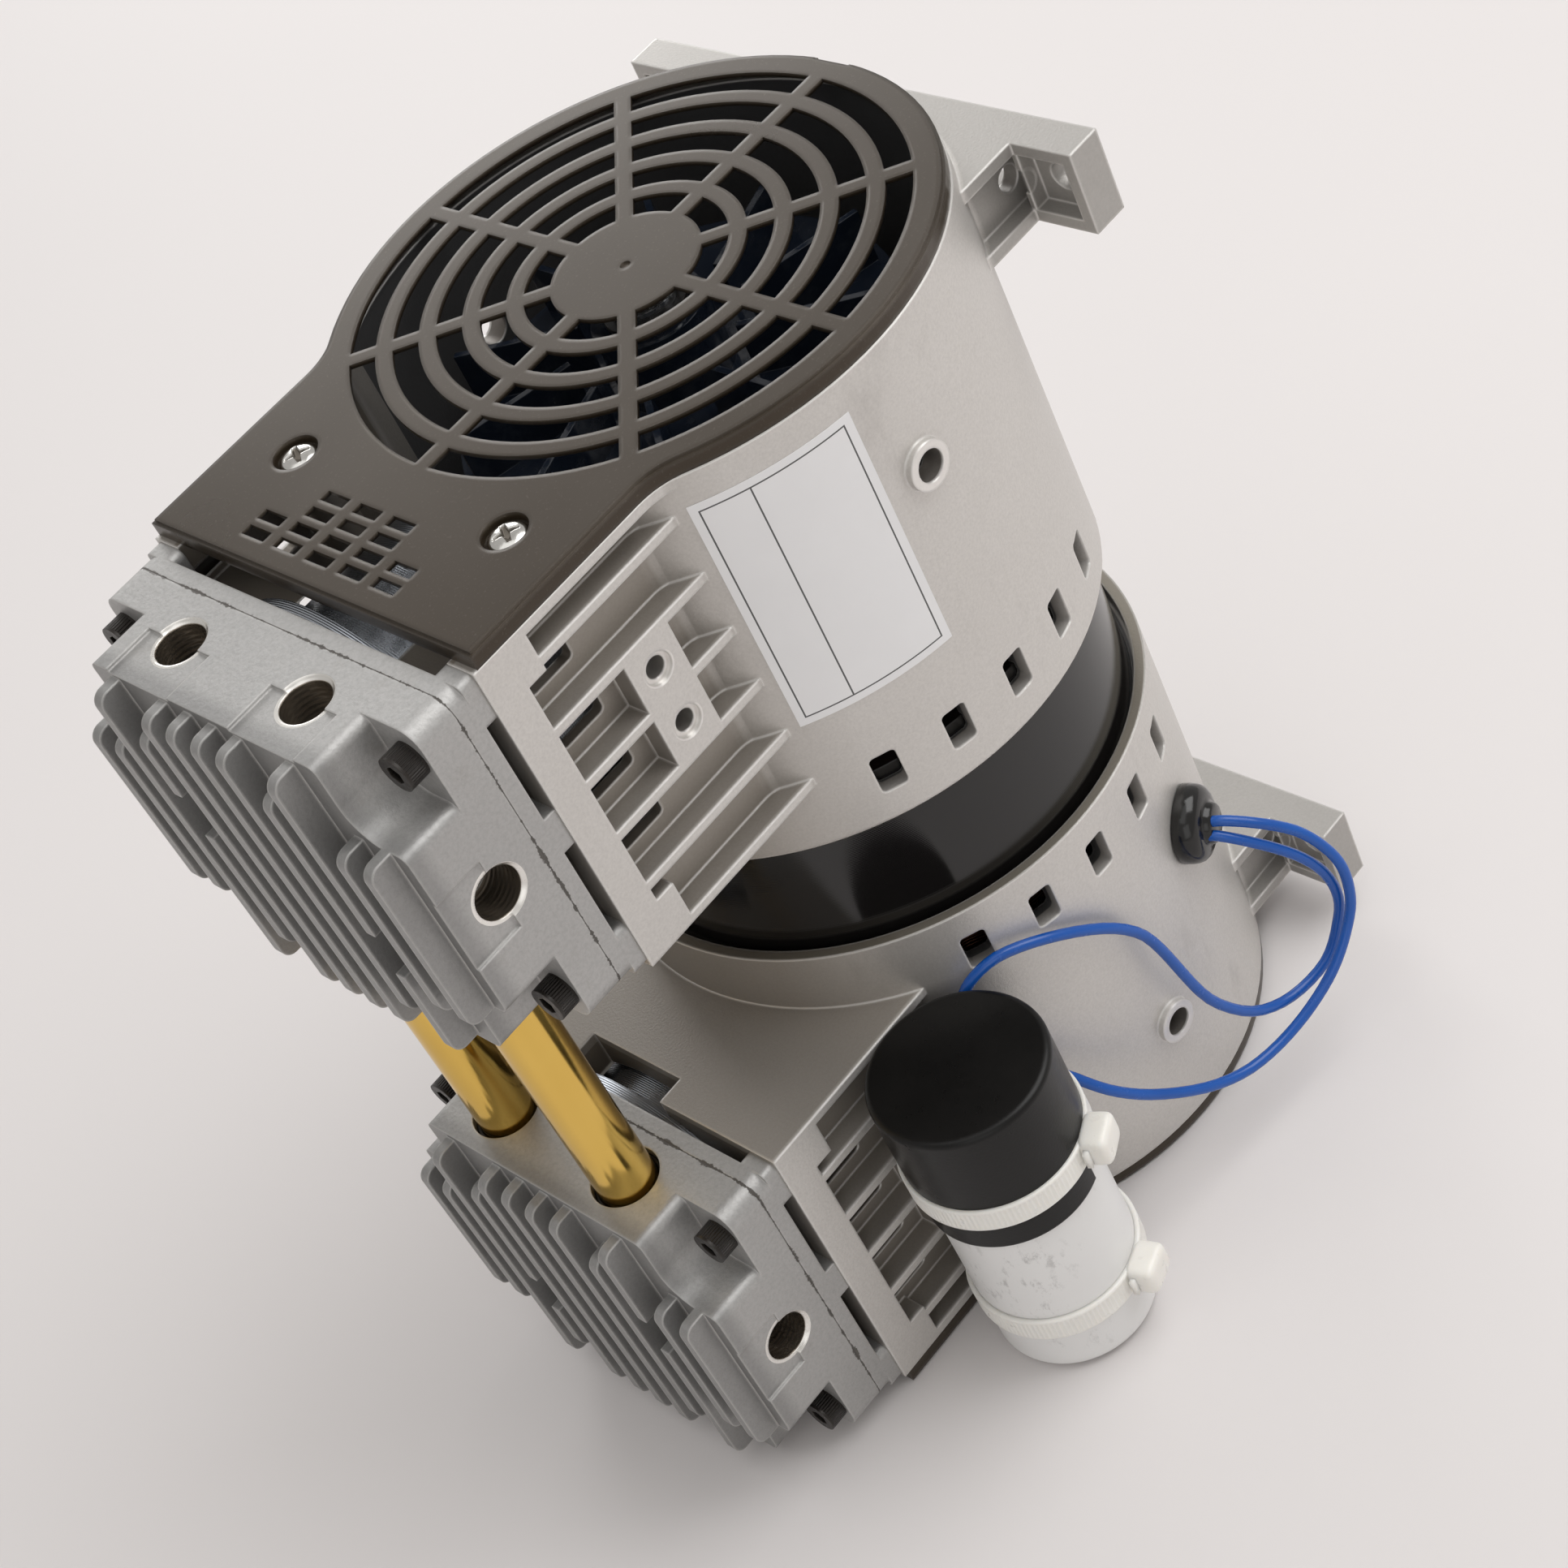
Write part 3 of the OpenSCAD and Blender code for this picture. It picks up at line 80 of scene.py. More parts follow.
class Paint:
    """One material while it is mixed. node() adds any node, and coat() sets its surface."""

    def __init__(self, name):
        self.material = bpy.data.materials.new(name)
        self.material.use_nodes = True
        self.tree = self.material.node_tree
        self.skin = self.tree.nodes["Principled BSDF"]

    def node(self, kind, settings={}, inputs={}, out=0):
        """A node of that type, with its settings, then its sockets, as the signal of one output."""
        made = self.tree.nodes.new(kind)
        for key, value in settings.items():
            setattr(made, key, value)
        for key, value in inputs.items():
            self.put(made.inputs[key], value)
        return Signal(self, made.outputs[out])

    def put(self, socket, value):
        """A link where the value is a signal, and otherwise the value itself."""
        if isinstance(value, Signal):
            self.tree.links.new(value.socket, socket)
        elif hasattr(value, "__len__") and socket.type == "RGBA":
            socket.default_value = (*value, 1)[:4]
        else:
            socket.default_value = value

    def place(self):
        return self.node("ShaderNodeTexCoord", out="Object")

    def parts(self):
        """The X, Y and Z of each point, as three signals."""
        return [Signal(self, socket) for socket in
                self.node("ShaderNodeSeparateXYZ", {}, {0: self.place()}).socket.node.outputs]

    def drawn_out(self, *scale):
        """The object's coordinates, each multiplied by its own scale."""
        return self.node("ShaderNodeMapping", {}, {"Vector": self.place(), "Scale": scale})

    def noise(self, scale, detail=2, rough=0.5, at=None):
        """Soft noise round one half, with so many blots to the metre."""
        return self.node("ShaderNodeTexNoise", {}, {
            "Vector": at or self.place(), "Scale": scale, "Detail": detail, "Roughness": rough})

    def ramp(self, signal, low, high, a=0, b=1):
        """signal from low to high, stretched to run from a to b and held there."""
        return self.node("ShaderNodeMapRange", {}, {0: signal, 1: low, 2: high, 3: a, 4: b})

    def mix(self, share, a, b):
        """Colour a at a share of 0, and colour b at 1."""
        return self.node("ShaderNodeMix", {"data_type": "RGBA"}, {0: share, 6: a, 7: b}, out=2)

    def rounded(self, radius):
        """The surface's normal as if its sharp edges had that radius."""
        return self.node("ShaderNodeBevel", {"samples": 4}, {"Radius": radius})

    def edge(self, soft):
        """1 on a flat face, less where the rounded normal leaves the face's own."""
        face = self.node("ShaderNodeNewGeometry", out="Normal")
        return self.node("ShaderNodeVectorMath", {"operation": "DOT_PRODUCT"},
                         {0: soft, 1: face}, out="Value")

    def bump(self, height, distance, normal=None, strength=1):
        """A normal tilted by the height's slope, where a height of 1 stands that distance proud."""
        inputs = {"Height": height, "Distance": distance, "Strength": strength}
        if normal:
            inputs["Normal"] = normal
        return self.node("ShaderNodeBump", {}, inputs)

    def one(self, operation, *terms):
        """One Math node."""
        return self.node("ShaderNodeMath", {"operation": operation}, dict(enumerate(terms)))

    def coat(self, **sockets):
        for key, value in sockets.items():
            self.put(self.skin.inputs[key.replace("_", " ")], value)
        return self.material


def wear(piece, material):
    """The piece with that material and no other."""
    piece.data.materials.clear()
    piece.data.materials.append(material)
    return piece


def blue_insulation():
    """Two near blues mixed by noise, with finer noise in the gloss and the bump."""
    p = Paint("blue_insulation")
    return p.coat(
        Base_Color=p.mix(p.noise(90, 3), (0.005, 0.069, 0.335), (0.009, 0.100, 0.43)),
        Specular_IOR_Level=0.5, Roughness=p.ramp(p.noise(400), 0.3, 0.7, 0.2, 0.28),
        Normal=p.bump(p.noise(500), 0.00001))


def smooth(line):
    """The line with a point added between each two, on the cubic through their neighbours."""
    line = np.asarray(line, float)
    between = (9 * (line[1:-2] + line[2:-1]) - line[:-3] - line[3:]) / 16
    finer = np.empty((2 * len(line) - 1, 3))
    finer[0::2] = line
    finer[1::2] = np.vstack([(line[0] + line[1]) / 2, between, (line[-2] + line[-1]) / 2])
    return finer


def solid(name, points, faces):
    """An object at the origin, whose mesh holds the points where they lie."""
    shape = bpy.data.meshes.new(name)
    shape.from_pydata(np.asarray(points, float).reshape(-1, 3).tolist(), [], faces)
    shape.shade_smooth()
    piece = bpy.data.objects.new(name, shape)
    bpy.context.scene.collection.objects.link(piece)
    return piece


def grid_faces(rows, columns, closed_rows=False):
    """Quads between rows of points, each row closed into a ring, and the rows too if asked."""
    i, k = np.meshgrid(np.arange(rows if closed_rows else rows - 1), np.arange(columns),
                       indexing="ij")
    here, there = i * columns, (i + 1) % rows * columns
    after = (k + 1) % columns
    quads = np.stack([here + k, here + after, there + after, there + k], axis=-1)
    return quads.reshape(-1, 4).tolist()


def tube(name, line, radius, sides=16):
    """A ring of points round each point of the line, across its way there, with flat ends."""
    ahead = np.gradient(line, axis=0)
    across = np.cross(ahead, (0, 1, 0))
    above = np.cross(ahead, across)
    across, above = (v / np.linalg.norm(v, axis=1, keepdims=True) for v in (across, above))
    turn = np.linspace(0, 2 * np.pi, sides, endpoint=False)[None, :, None]
    spokes = np.cos(turn) * across[:, None] + np.sin(turn) * above[:, None]
    rings = line[:, None] + radius * spokes
    last = (len(line) - 1) * sides
    ends = [list(range(sides))[::-1], list(range(last, last + sides))]
    return solid(name, rings, grid_faces(len(line), sides) + ends)


blue = blue_insulation()
lead_diameter = 0.0027
for name, route in (
    ("outer_lead_wire", [
        (30.6, -67.8, 72.9), (33, -72.6, 73.2), (38, -78, 69.6), (44.3, -83, 62.4), (47.4, -87, 55),
        (48, -90, 48.2), (46.4, -91, 39.7), (42.8, -91, 33.6), (36, -90.4, 26.6), (27.7, -89, 21.5),
        (16.8, -87, 18.3), (4.2, -85, 19), (-8.2, -82.6, 25), (-20.3, -78.4, 34.6),
        (-27.9, -74.6, 43.6), (-32, -70, 50.5), (-36.4, -65, 57.5), (-39.2, -61.4, 64),
        (-40.4, -60.2, 70), (-42.6, -59.7, 74.5), (-45.2, -59.2, 77.6)]),
    ("inner_lead_wire", [
        (28.8, -67.9, 70.3), (30.6, -72.6, 70.4), (35.6, -78, 65), (41.7, -83, 56.4),
        (45.5, -86, 47.3), (46.2, -87, 37.8), (43.8, -86, 29.6), (37.1, -85, 22.3),
        (25.3, -83, 21.3), (14, -81.2, 27.6), (5.5, -79, 41.3), (2, -77, 56.9),
        (-1.3, -75, 70.6), (-9.3, -72.8, 81.2), (-22.4, -69.4, 90.6), (-33.2, -65, 94),
        (-40.2, -61, 90.6), (-43.2, -60, 87), (-45.2, -59.2, 83.4)]),
):
    line = smooth(smooth(np.array(route) / 1000))
    lead = wear(tube(name + "_insulation", line, lead_diameter / 2), blue)
    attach(lead, "pump_body")
    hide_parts(name)


# ---- Housings ----
# Two aluminium die castings, mirror images of each other about mid height, blasted to a fine
# silver grain outside. The recesses between the ribs, the drum's and the neck's inside, the bore,
# the foot and the boss holes are painted darker as shade, and the edges carry wear and a painted
# highlight. The bosses and screw pads are turned bright. Both are bolted over the motor's core.
middle = 0.126  # height of the plane that the two pump ends mirror each other about
drum_radius = 0.07
drum_bore = 0.066
rim_rise = 0.01745  # from the middle plane to just past the rim at the motor's core
neck_start = -0.044  # where the flat flanks run out of the drum
flank = 0.0525  # half of the neck's width
neck_floor = 0.0374  # from the middle plane to the neck's inside
cylinder_rise = 0.07875  # from the middle plane to a cylinder's axis
boss_rise = 0.091
boss_hole_radius = 0.0037
pad_x = -0.0654
pad_rise = 0.0818
pad_hole_gap = 0.01535  # between the two holes of a screw pad
pad_hole_radius = 0.0041


def blasted_casting():
    """Silver with dark specks, and a bright wash of wear and painted highlight where the rounded
    normal leaves the face's own.

    height is the distance from the middle plane, and side from the plane through both cylinders.
    Each place of painted shade (the recesses between the ribs, the drum's and the neck's inside,
    the bore, the foot and the boss holes), the band by the middle plane and each turned place is
    where these, x and the distance from the drum's axis are within its own limits, and it mixes its
    tone over the silver.
    """
    p = Paint("blasted_casting")
    x, y, z = p.parts()
    height, side = p.one("ABSOLUTE", z - middle), p.one("ABSOLUTE", y)
    radius = p.one("SQRT", x * x + y * y)
    soft = p.rounded(0.0009)
    # Wear and a painted highlight along the rounded edges.
    wear_and_highlight = p.ramp(p.edge(soft), 0.985, 0.86)
    cloud, grain = p.noise(22, 4, 0.6), p.noise(1500, 3, 0.7)
    neck = p.ramp(x, neck_start, neck_start - 0.003)
    wall = p.ramp(p.one("ABSOLUTE", radius - drum_radius), 0.0009, 0.0004)
    # Painted shade, darker and warmer: the recesses between the ribs, the drum's inside and the
    # faces cut through its wall, and the drum's wall behind the neck.
    recess_shade = p.one("MAXIMUM", neck * p.ramp(side, flank - 0.0004, flank - 0.0013),
                p.ramp(radius, drum_radius - 0.0002, drum_bore - 0.0005) * (1 - neck))
    recess_shade = recess_shade * (1 - wall) + p.ramp(x, -0.036, -0.064) * wall
    # Painted shade inside the neck.
    neck_inside_shade = neck * p.ramp(side, flank - 0.0062, flank - 0.0066) * (height > neck_floor)
    # Painted shade, near black, in the drum's bore.
    bore_shade = p.ramp(radius, drum_bore + 0.0006, drum_bore + 0.0002) * (x > neck_start + 0.0055)
    # Painted shade over the foot.
    foot_shade = p.ramp(radius, drum_radius + 0.0002, drum_radius + 0.0012) * (x > 0.01)
    # Painted shade in the bosses' holes.
    boss_hole_shade = (height - boss_rise) ** 2 + x * x < boss_hole_radius ** 2
    boss_hole_shade = boss_hole_shade * (side < drum_radius + 0.0011)
    smudge = p.ramp(p.noise(38, 6, 0.7, p.drawn_out(1, 1, 0.45)), 0.60, 0.74)
    off_pad = p.one("ABSOLUTE", p.one("ABSOLUTE", height - pad_rise) - pad_hole_gap / 2)
    pad_hole = off_pad ** 2 + (x - pad_x) ** 2 < pad_hole_radius ** 2
    turned = p.one("MAXIMUM", side > drum_radius + 0.00155, pad_hole * (side > flank - 0.0065))
    tone = p.mix(cloud, (0.60, 0.578, 0.55), (0.69, 0.667, 0.64))
    tone = p.mix(p.ramp(grain, 0.35, 0.7, 0, 0.2), tone, (0.31, 0.295, 0.28))
    tone = p.mix(smudge * 0.3, tone, (0.36, 0.34, 0.32))
    tone = p.mix(foot_shade * 0.5, tone, (0.21, 0.20, 0.185))
    tone = p.mix(recess_shade * 0.62 + neck_inside_shade * 0.3, tone, (0.21, 0.18, 0.145))
    tone = p.mix((height < rim_rise) * 0.85, tone, (0.20, 0.175, 0.135))
    tone = p.mix(bore_shade * 0.85, tone, (0.07, 0.073, 0.08))
    tone = p.mix(boss_hole_shade * 0.75, tone, (0.13, 0.11, 0.09))
    tone = p.mix(p.one("MAXIMUM", wear_and_highlight, turned * 0.6), tone, (0.88, 0.86, 0.83))
    return p.coat(
        Base_Color=tone, Metallic=p.ramp(turned, 0, 1, 0.55, 0.85),
        Roughness=p.ramp(cloud + grain * 0.5, 0.4, 1.1, 0.38, 0.50) - turned * 0.1,
        Normal=p.bump(grain * (1 - turned), 0.00012, soft, 0.6))


silver = blasted_casting()
for name in ("upper_housing", "lower_housing"):
    wear(node[name], silver)


# ---- Stator, rotor and shaft ----
# The motor's core is a stack of pressed laminations between the housings, lacquered glossy black
# where it shows. Its windings are enamelled copper, and the rotor inside is cast into its own
# stack on a ground steel shaft, which turns in two ball bearings.
lamination = 0.0005


def black_lacquer():
    """Near black, with a sine along Z for the edges of the sheets under the lacquer."""
    p = Paint("black_lacquer")
    x, y, z = p.parts()
    sheet = p.one("SINE", z * (2 * np.pi / lamination))
    return p.coat(
        Base_Color=p.mix(p.noise(30, 3), (0.0045, 0.0042, 0.0042), (0.008, 0.0072, 0.0068)),
        Roughness=p.ramp(p.noise(55, 4), 0.35, 0.7, 0.09, 0.16),
        Normal=p.bump(sheet, 0.000002, p.rounded(0.0004)))


def enamelled_wire():
    """Dark and light copper along a sine, which runs round the coil and wanders by noise."""
    p = Paint("enamelled_wire")
    x, y, z = p.parts()
    radius = p.one("SQRT", x * x + y * y)
    strand = p.one("SINE", (radius + z * 0.8 + p.noise(60) * 0.004) * 9000)
    return p.coat(
        Base_Color=p.mix(p.ramp(strand, -1, 1), (0.07, 0.024, 0.012), (0.20, 0.075, 0.03)),
        Metallic=0.6, Roughness=p.ramp(p.noise(200), 0.3, 0.7, 0.22, 0.36),
        Normal=p.bump(strand, 0.0002))


def ground_steel(name, dark, light, rough, pitch):
    """Bright steel with fine rings turned or ground round the Z axis."""
    p = Paint(name)
    x, y, z = p.parts()
    rings = p.one("SINE", (z + p.one("SQRT", x * x + y * y)) * (2 * np.pi / pitch))
    return p.coat(
        Base_Color=p.mix(p.noise(120, 4), dark, light), Metallic=1.0,
        Roughness=p.ramp(p.noise(900, 3), 0.3, 0.7, rough - 0.05, rough + 0.07),
        Normal=p.bump(rings, pitch * 0.02, p.rounded(0.0003), 0.5))


wear(node["stator_core"], black_lacquer())
wear(node["stator_windings"], enamelled_wire())
wear(node["rotor"],
     ground_steel("rotor_stack", (0.22, 0.22, 0.23), (0.34, 0.34, 0.35), 0.42, lamination))
bright_steel = ground_steel("bright_steel", (0.52, 0.53, 0.55), (0.66, 0.67, 0.68), 0.22, 0.0004)
for name in ("motor_shaft", "upper_motor_bearing", "lower_motor_bearing", "upper_big_end_bearing",
             "lower_big_end_bearing", "upper_wrist_pin", "lower_wrist_pin", "reed_valves"):
    wear(node[name], bright_steel)
wear(node["motor_bolts"],
     ground_steel("zinc_plate", (0.50, 0.50, 0.47), (0.62, 0.62, 0.57), 0.33, 0.0008))
for name in ("upper_eccentric", "lower_eccentric"):
    wear(node[name],
         ground_steel(name + "_steel", (0.26, 0.26, 0.27), (0.38, 0.38, 0.39), 0.36, 0.0006))


# ---- Rods and pistons ----
# Each connecting rod is a small die casting, and each piston is turned from one. The piston's cup
# seal and its guide ring are a dark filled plastic, because the pump runs without oil. A steel
# pin joins piston and rod.
def rod_casting(name, dark, light, rough, turned_pitch):
    """Grey with dark grain and bright edges. The turned marks are a sine along the cylinder."""
    p = Paint(name)
    x, y, z = p.parts()
    grain = p.noise(1300, 3, 0.7)
    soft = p.rounded(0.0006)
    tone = p.mix(p.noise(40, 4, 0.6), dark, light)
    tone = p.mix(p.ramp(grain, 0.35, 0.75, 0, 0.3), tone, (0.20, 0.20, 0.20))
    tone = p.mix(p.ramp(p.edge(soft), 0.98, 0.85), tone, (0.82, 0.82, 0.82))
    marks = p.one("SINE", x * (2 * np.pi / turned_pitch))
    return p.coat(
        Base_Color=tone, Metallic=0.75,
        Roughness=p.ramp(grain, 0.3, 0.7, rough - 0.05, rough + 0.06),
        Normal=p.bump(grain + marks * 0.4, 0.00008, soft, 0.6))


def filled_plastic():
    """Dark brown with lighter specks of its filler."""
    p = Paint("filled_plastic")
    speck = p.noise(2200, 2, 0.8)
    return p.coat(
        Base_Color=p.mix(p.ramp(speck, 0.45, 0.65), (0.035, 0.028, 0.022), (0.085, 0.065, 0.045)),
        Roughness=p.ramp(speck, 0.3, 0.7, 0.4, 0.55),
        Normal=p.bump(speck, 0.00003, p.rounded(0.0003)))


for name in ("upper_connecting_rod", "lower_connecting_rod"):
    wear(node[name],
         rod_casting(name + "_casting", (0.46, 0.46, 0.46), (0.56, 0.56, 0.555), 0.48, 0.003))
for name in ("upper_piston", "lower_piston"):
    wear(node[name],
         rod_casting(name + "_metal", (0.60, 0.60, 0.60), (0.70, 0.70, 0.70), 0.3, 0.0005))
ptfe = filled_plastic()
for name in ("upper_piston_rings", "lower_piston_rings"):
    wear(node[name], ptfe)


# ---- Cylinders and heads ----
# The heads and the cylinders behind them are coarser, greyer castings, clamped together by four
# screws with a thin bead of sealant squeezed out along the joint. Ports are tapped and their
# mouths chamfered, and each cylinder's barrel is turned.
head_joint = -0.107  # where a head meets its cylinder's flange
fin_root = -0.1255
port_x = -0.1187
port_side = 0.021  # an end port's distance from the plane through both cylinders
port_radius = 0.0067
port_bore = 0.00578  # inside the chamfer at a port's mouth
thread_pitch = 0.001337
barrel_radius = 0.0423


def head_casting():
    """Grey with dark grain, bright edges of wear and painted highlight, and painted shade on the
    fins.

    A port or barrel is where the distance from its axis is less than its radius. The thread is a
    sine along the port, and the bead's ragged edge is the distance from the joint less noise.
    """
    p = Paint("head_casting")
    x, y, z = p.parts()
    height, side = p.one("ABSOLUTE", z - middle), p.one("ABSOLUTE", y)
    soft = p.rounded(0.0008)
    # Wear and a painted highlight along the rounded edges.
    wear_and_highlight = p.ramp(p.edge(soft), 0.985, 0.84)
    cloud, grain = p.noise(26, 4, 0.6), p.noise(1000, 4, 0.75)
    from_side_port = p.one("SQRT", (x - port_x) ** 2 + (height - cylinder_rise) ** 2)
    from_end_port = p.one("SQRT", (x - port_x) ** 2 + (side - port_side) ** 2)
    side_port = (from_side_port < port_radius) * (side > 0.0401)
    end_port = (from_end_port < port_radius) * (height > 0.1098)
    tapped = p.one("MAXIMUM", side_port, end_port)
    mouth = p.one("MAXIMUM", side_port * (from_side_port > port_bore),
                  end_port * (from_end_port > port_bore))
    depth = side * side_port + height * end_port
    thread = p.one("SINE", depth * (2 * np.pi / thread_pitch)) * tapped
    barrel = p.one("SQRT", y * y + (height - cylinder_rise) ** 2)
    turned = (barrel < barrel_radius) * (x > head_joint + 0.0042)
    swell = p.noise(140, 2) * 0.0018 + p.noise(700, 4, 0.85) * 0.0018
    off_joint = p.one("ABSOLUTE", x - head_joint)
    bead = p.one("MAXIMUM", p.ramp(off_joint - swell, -0.00155, -0.0017),
                 (off_joint < 0.00013) * 0.8)
    # Painted shade over the fins, from their roots outwards.
    fin_shade = p.ramp(x, fin_root, fin_root - 0.0035)
    tone = p.mix(cloud, (0.388, 0.383, 0.375), (0.505, 0.498, 0.487))
    tone = p.mix(fin_shade * 0.42, tone, (0.15, 0.149, 0.147))
    tone = p.mix(p.ramp(grain, 0.42, 0.72, 0, 0.28), tone, (0.19, 0.185, 0.178))
    tone = p.mix(p.ramp(p.noise(60, 6, 0.75), 0.58, 0.72, 0, 0.3), tone, (0.30, 0.275, 0.245))
    tone = p.mix(wear_and_highlight * 0.62, tone, (0.80, 0.785, 0.76))
    tone = p.mix(turned, tone, (0.40, 0.425, 0.465))
    tone = p.mix(tapped, tone, p.mix(mouth, (0.40, 0.35, 0.29), (0.84, 0.82, 0.78)))
    tone = p.mix(bead * 0.9, tone, (0.045, 0.036, 0.028))
    cut = p.one("MAXIMUM", turned, tapped)
    relief = grain * (1 - cut) + thread * 0.35 + p.one("SINE", x * 12000) * turned * 0.3
    return p.coat(
        Base_Color=tone, Metallic=p.ramp(cut, 0, 1, 0.58, 0.95) * (1 - bead),
        Roughness=p.ramp(cloud + grain * 0.5, 0.4, 1.1, 0.40, 0.53) - cut * 0.18,
        Normal=p.bump(relief, 0.00014, soft, 0.7))


def gasket_sheet():
    """Dark fibre sheet: noise drawn out across it, in its colour, gloss and bump."""
    p = Paint("gasket_sheet")
    fibre = p.noise(800, 3, 0.7, p.drawn_out(1, 3, 1))
    return p.coat(
        Base_Color=p.mix(fibre, (0.02, 0.021, 0.02), (0.06, 0.062, 0.055)),
        Roughness=p.ramp(fibre, 0.3, 0.7, 0.55, 0.75), Normal=p.bump(fibre, 0.00004))


grey = head_casting()
for name in ("upper_cylinder", "lower_cylinder", "upper_cylinder_head", "lower_cylinder_head"):
    wear(node[name], grey)
for name in ("upper_valve_plate", "lower_valve_plate"):
    wear(node[name],
         rod_casting(name + "_metal", (0.50, 0.50, 0.50), (0.60, 0.60, 0.60), 0.35, 0.0007))
gasket = gasket_sheet()
for name in ("upper_head_gasket", "lower_head_gasket"):
    wear(node[name], gasket)


# ---- Head screws and clips ----
# Black oxide socket head screws, with a fine straight knurl round each head, four in each
# cylinder head. The spring clips that hold the fans on the shaft have the same finish.
head_screw_side = 0.0466
head_screw_rise = 0.035  # from its cylinder's axis
knurls = 40


def black_oxide():
    """Brownish black, greyer on edges. The knurl is a sine of the angle round a screw's axis."""
    p = Paint("black_oxide")
    x, y, z = p.parts()
    across = p.one("ABSOLUTE", y) - head_screw_side
    off_axis = p.one("ABSOLUTE", p.one("ABSOLUTE", z - middle) - cylinder_rise)
    angle = p.one("ARCTAN2", off_axis - head_screw_rise, across)
    knurl = p.one("SINE", angle * knurls) * (x < -0.1168) * (x > -0.1206)
    soft = p.rounded(0.0004)
    tone = p.mix(p.noise(260, 4, 0.7), (0.010, 0.0085, 0.0075), (0.030, 0.024, 0.019))
    tone = p.mix(p.ramp(p.edge(soft), 0.97, 0.8, 0, 0.5), tone, (0.13, 0.115, 0.10))
    return p.coat(
        Base_Color=tone, Metallic=0.35, Roughness=p.ramp(p.noise(700, 3), 0.3, 0.7, 0.32, 0.46),
        Normal=p.bump(knurl, 0.00018, soft))


oxide = black_oxide()
for name in ("head_screws", "fan_clips"):
    wear(node[name], oxide)


# ---- Connecting tubes ----
# Two drawn tubes, anodised a glossy gold, carry air between the heads. Each end sits in a socket,
# sealed by a rubber ring.
def gold_anodising():
    """Gold mixed by cloudy noise, with noise drawn out along the tube in its gloss."""
    p = Paint("gold_anodising")
    drawn = p.noise(900, 3, 0.6, p.drawn_out(1, 1, 0.02))
    haze = p.noise(35, 4)
    return p.coat(
        Base_Color=p.mix(haze, (0.74, 0.47, 0.105), (0.84, 0.57, 0.15)), Metallic=1.0,
        Roughness=p.ramp(drawn + haze * 0.5, 0.5, 1.0, 0.12, 0.2),
        Normal=p.bump(drawn, 0.000006, p.rounded(0.0005)))


def black_rubber(name, rough, shine):
    """Black with a faint bloom of noise, and finer noise in the gloss and the bump."""
    p = Paint(name)
    bloom = p.noise(70, 4)
    return p.coat(
        Base_Color=p.mix(bloom, (0.0045, 0.0043, 0.0042), (0.009, 0.0085, 0.008)),
        Specular_IOR_Level=shine,
        Roughness=p.ramp(p.noise(500, 3) + bloom * 0.5, 0.5, 1.0, rough - 0.02, rough + 0.04),
        Normal=p.bump(p.noise(1400, 2), 0.00002, p.rounded(0.0006)))


gold = gold_anodising()
for name in ("near_connecting_tube", "far_connecting_tube"):
    wear(node[name], gold)
wear(node["tube_o_rings"], black_rubber("ring_rubber", 0.4, 0.4))


# ---- Fans ----
# Radial fans moulded in a glossy black plastic, one under each cover, clipped to the shaft's ends.
# They show through the grilles.
def fan_moulding():
    """Blue black plastic with patches of pale dust, which are duller too."""
    p = Paint("fan_moulding")
    dust = p.ramp(p.noise(160, 5, 0.7), 0.5, 0.75)
    return p.coat(
        Base_Color=p.mix(dust * 0.35, (0.012, 0.017, 0.028), (0.06, 0.064, 0.07)),
        Roughness=p.ramp(dust, 0, 1, 0.10, 0.30),
        Normal=p.bump(p.noise(600), 0.00002, p.rounded(0.0004)))


fan_black = fan_moulding()
for name in ("upper_fan", "lower_fan"):
    wear(node[name], fan_black)


# ---- Fan covers ----
# Deep drawn sheet covers in a smooth brownish black satin paint, which is glossier over the
# rounded rim. Two screws hold each cover to its housing.
def satin_paint():
    """Brown black with fine flecks, and more coat where the rounded normal leaves the face's."""
    p = Paint("satin_paint")
    soft = p.rounded(0.0014)
    cloud, fleck = p.noise(18, 4), p.noise(1700, 2, 0.6)
    tone = p.mix(cloud, (0.025, 0.018, 0.011), (0.033, 0.0245, 0.0155))
    tone = p.mix(p.ramp(fleck, 0.62, 0.75, 0, 0.5), tone, (0.085, 0.075, 0.06))
    return p.coat(
        Base_Color=tone, Specular_IOR_Level=0.42, Specular_Tint=(1, 0.86, 0.74),
        Coat_Weight=p.ramp(p.edge(soft), 0.999, 0.97, 0.1, 0.6), Coat_Roughness=0.16,
        Roughness=p.ramp(cloud, 0.3, 0.7, 0.27, 0.33),
        Normal=p.bump(fleck, 0.000006, soft, 0.5))


satin = satin_paint()
for name in ("upper_fan_cover", "lower_fan_cover"):
    wear(node[name], satin)


# ---- Cover screws ----
# Two bright nickel plated pan head screws in the sunk holes of each cover. Their heads are domed,
# with a cross recess.
def shell_faces(rows, columns):
    """Quads between rings of points, and triangles to the pole before them and the pole after."""
    k = np.arange(columns)
    after, last, start = (k + 1) % columns, 1 + (rows - 1) * columns, np.zeros(columns, int)
    return ([[i + 1 for i in quad] for quad in grid_faces(rows, columns)]
            + np.stack([start, 1 + after, 1 + k], 1).tolist()
            + np.stack([last + k, last + after, start + last + columns], 1).tolist())


screw_radius = 4.4  # a screw's own shape is in millimetres
shank_radius = 1.9
shank_length = 13.8
rim_height = 0.7
crown_height = 2.2
slot_depth = 1.9
slot_reach = 3.0
slot_half_width = 0.95
cross_turn = 0.5  # radians


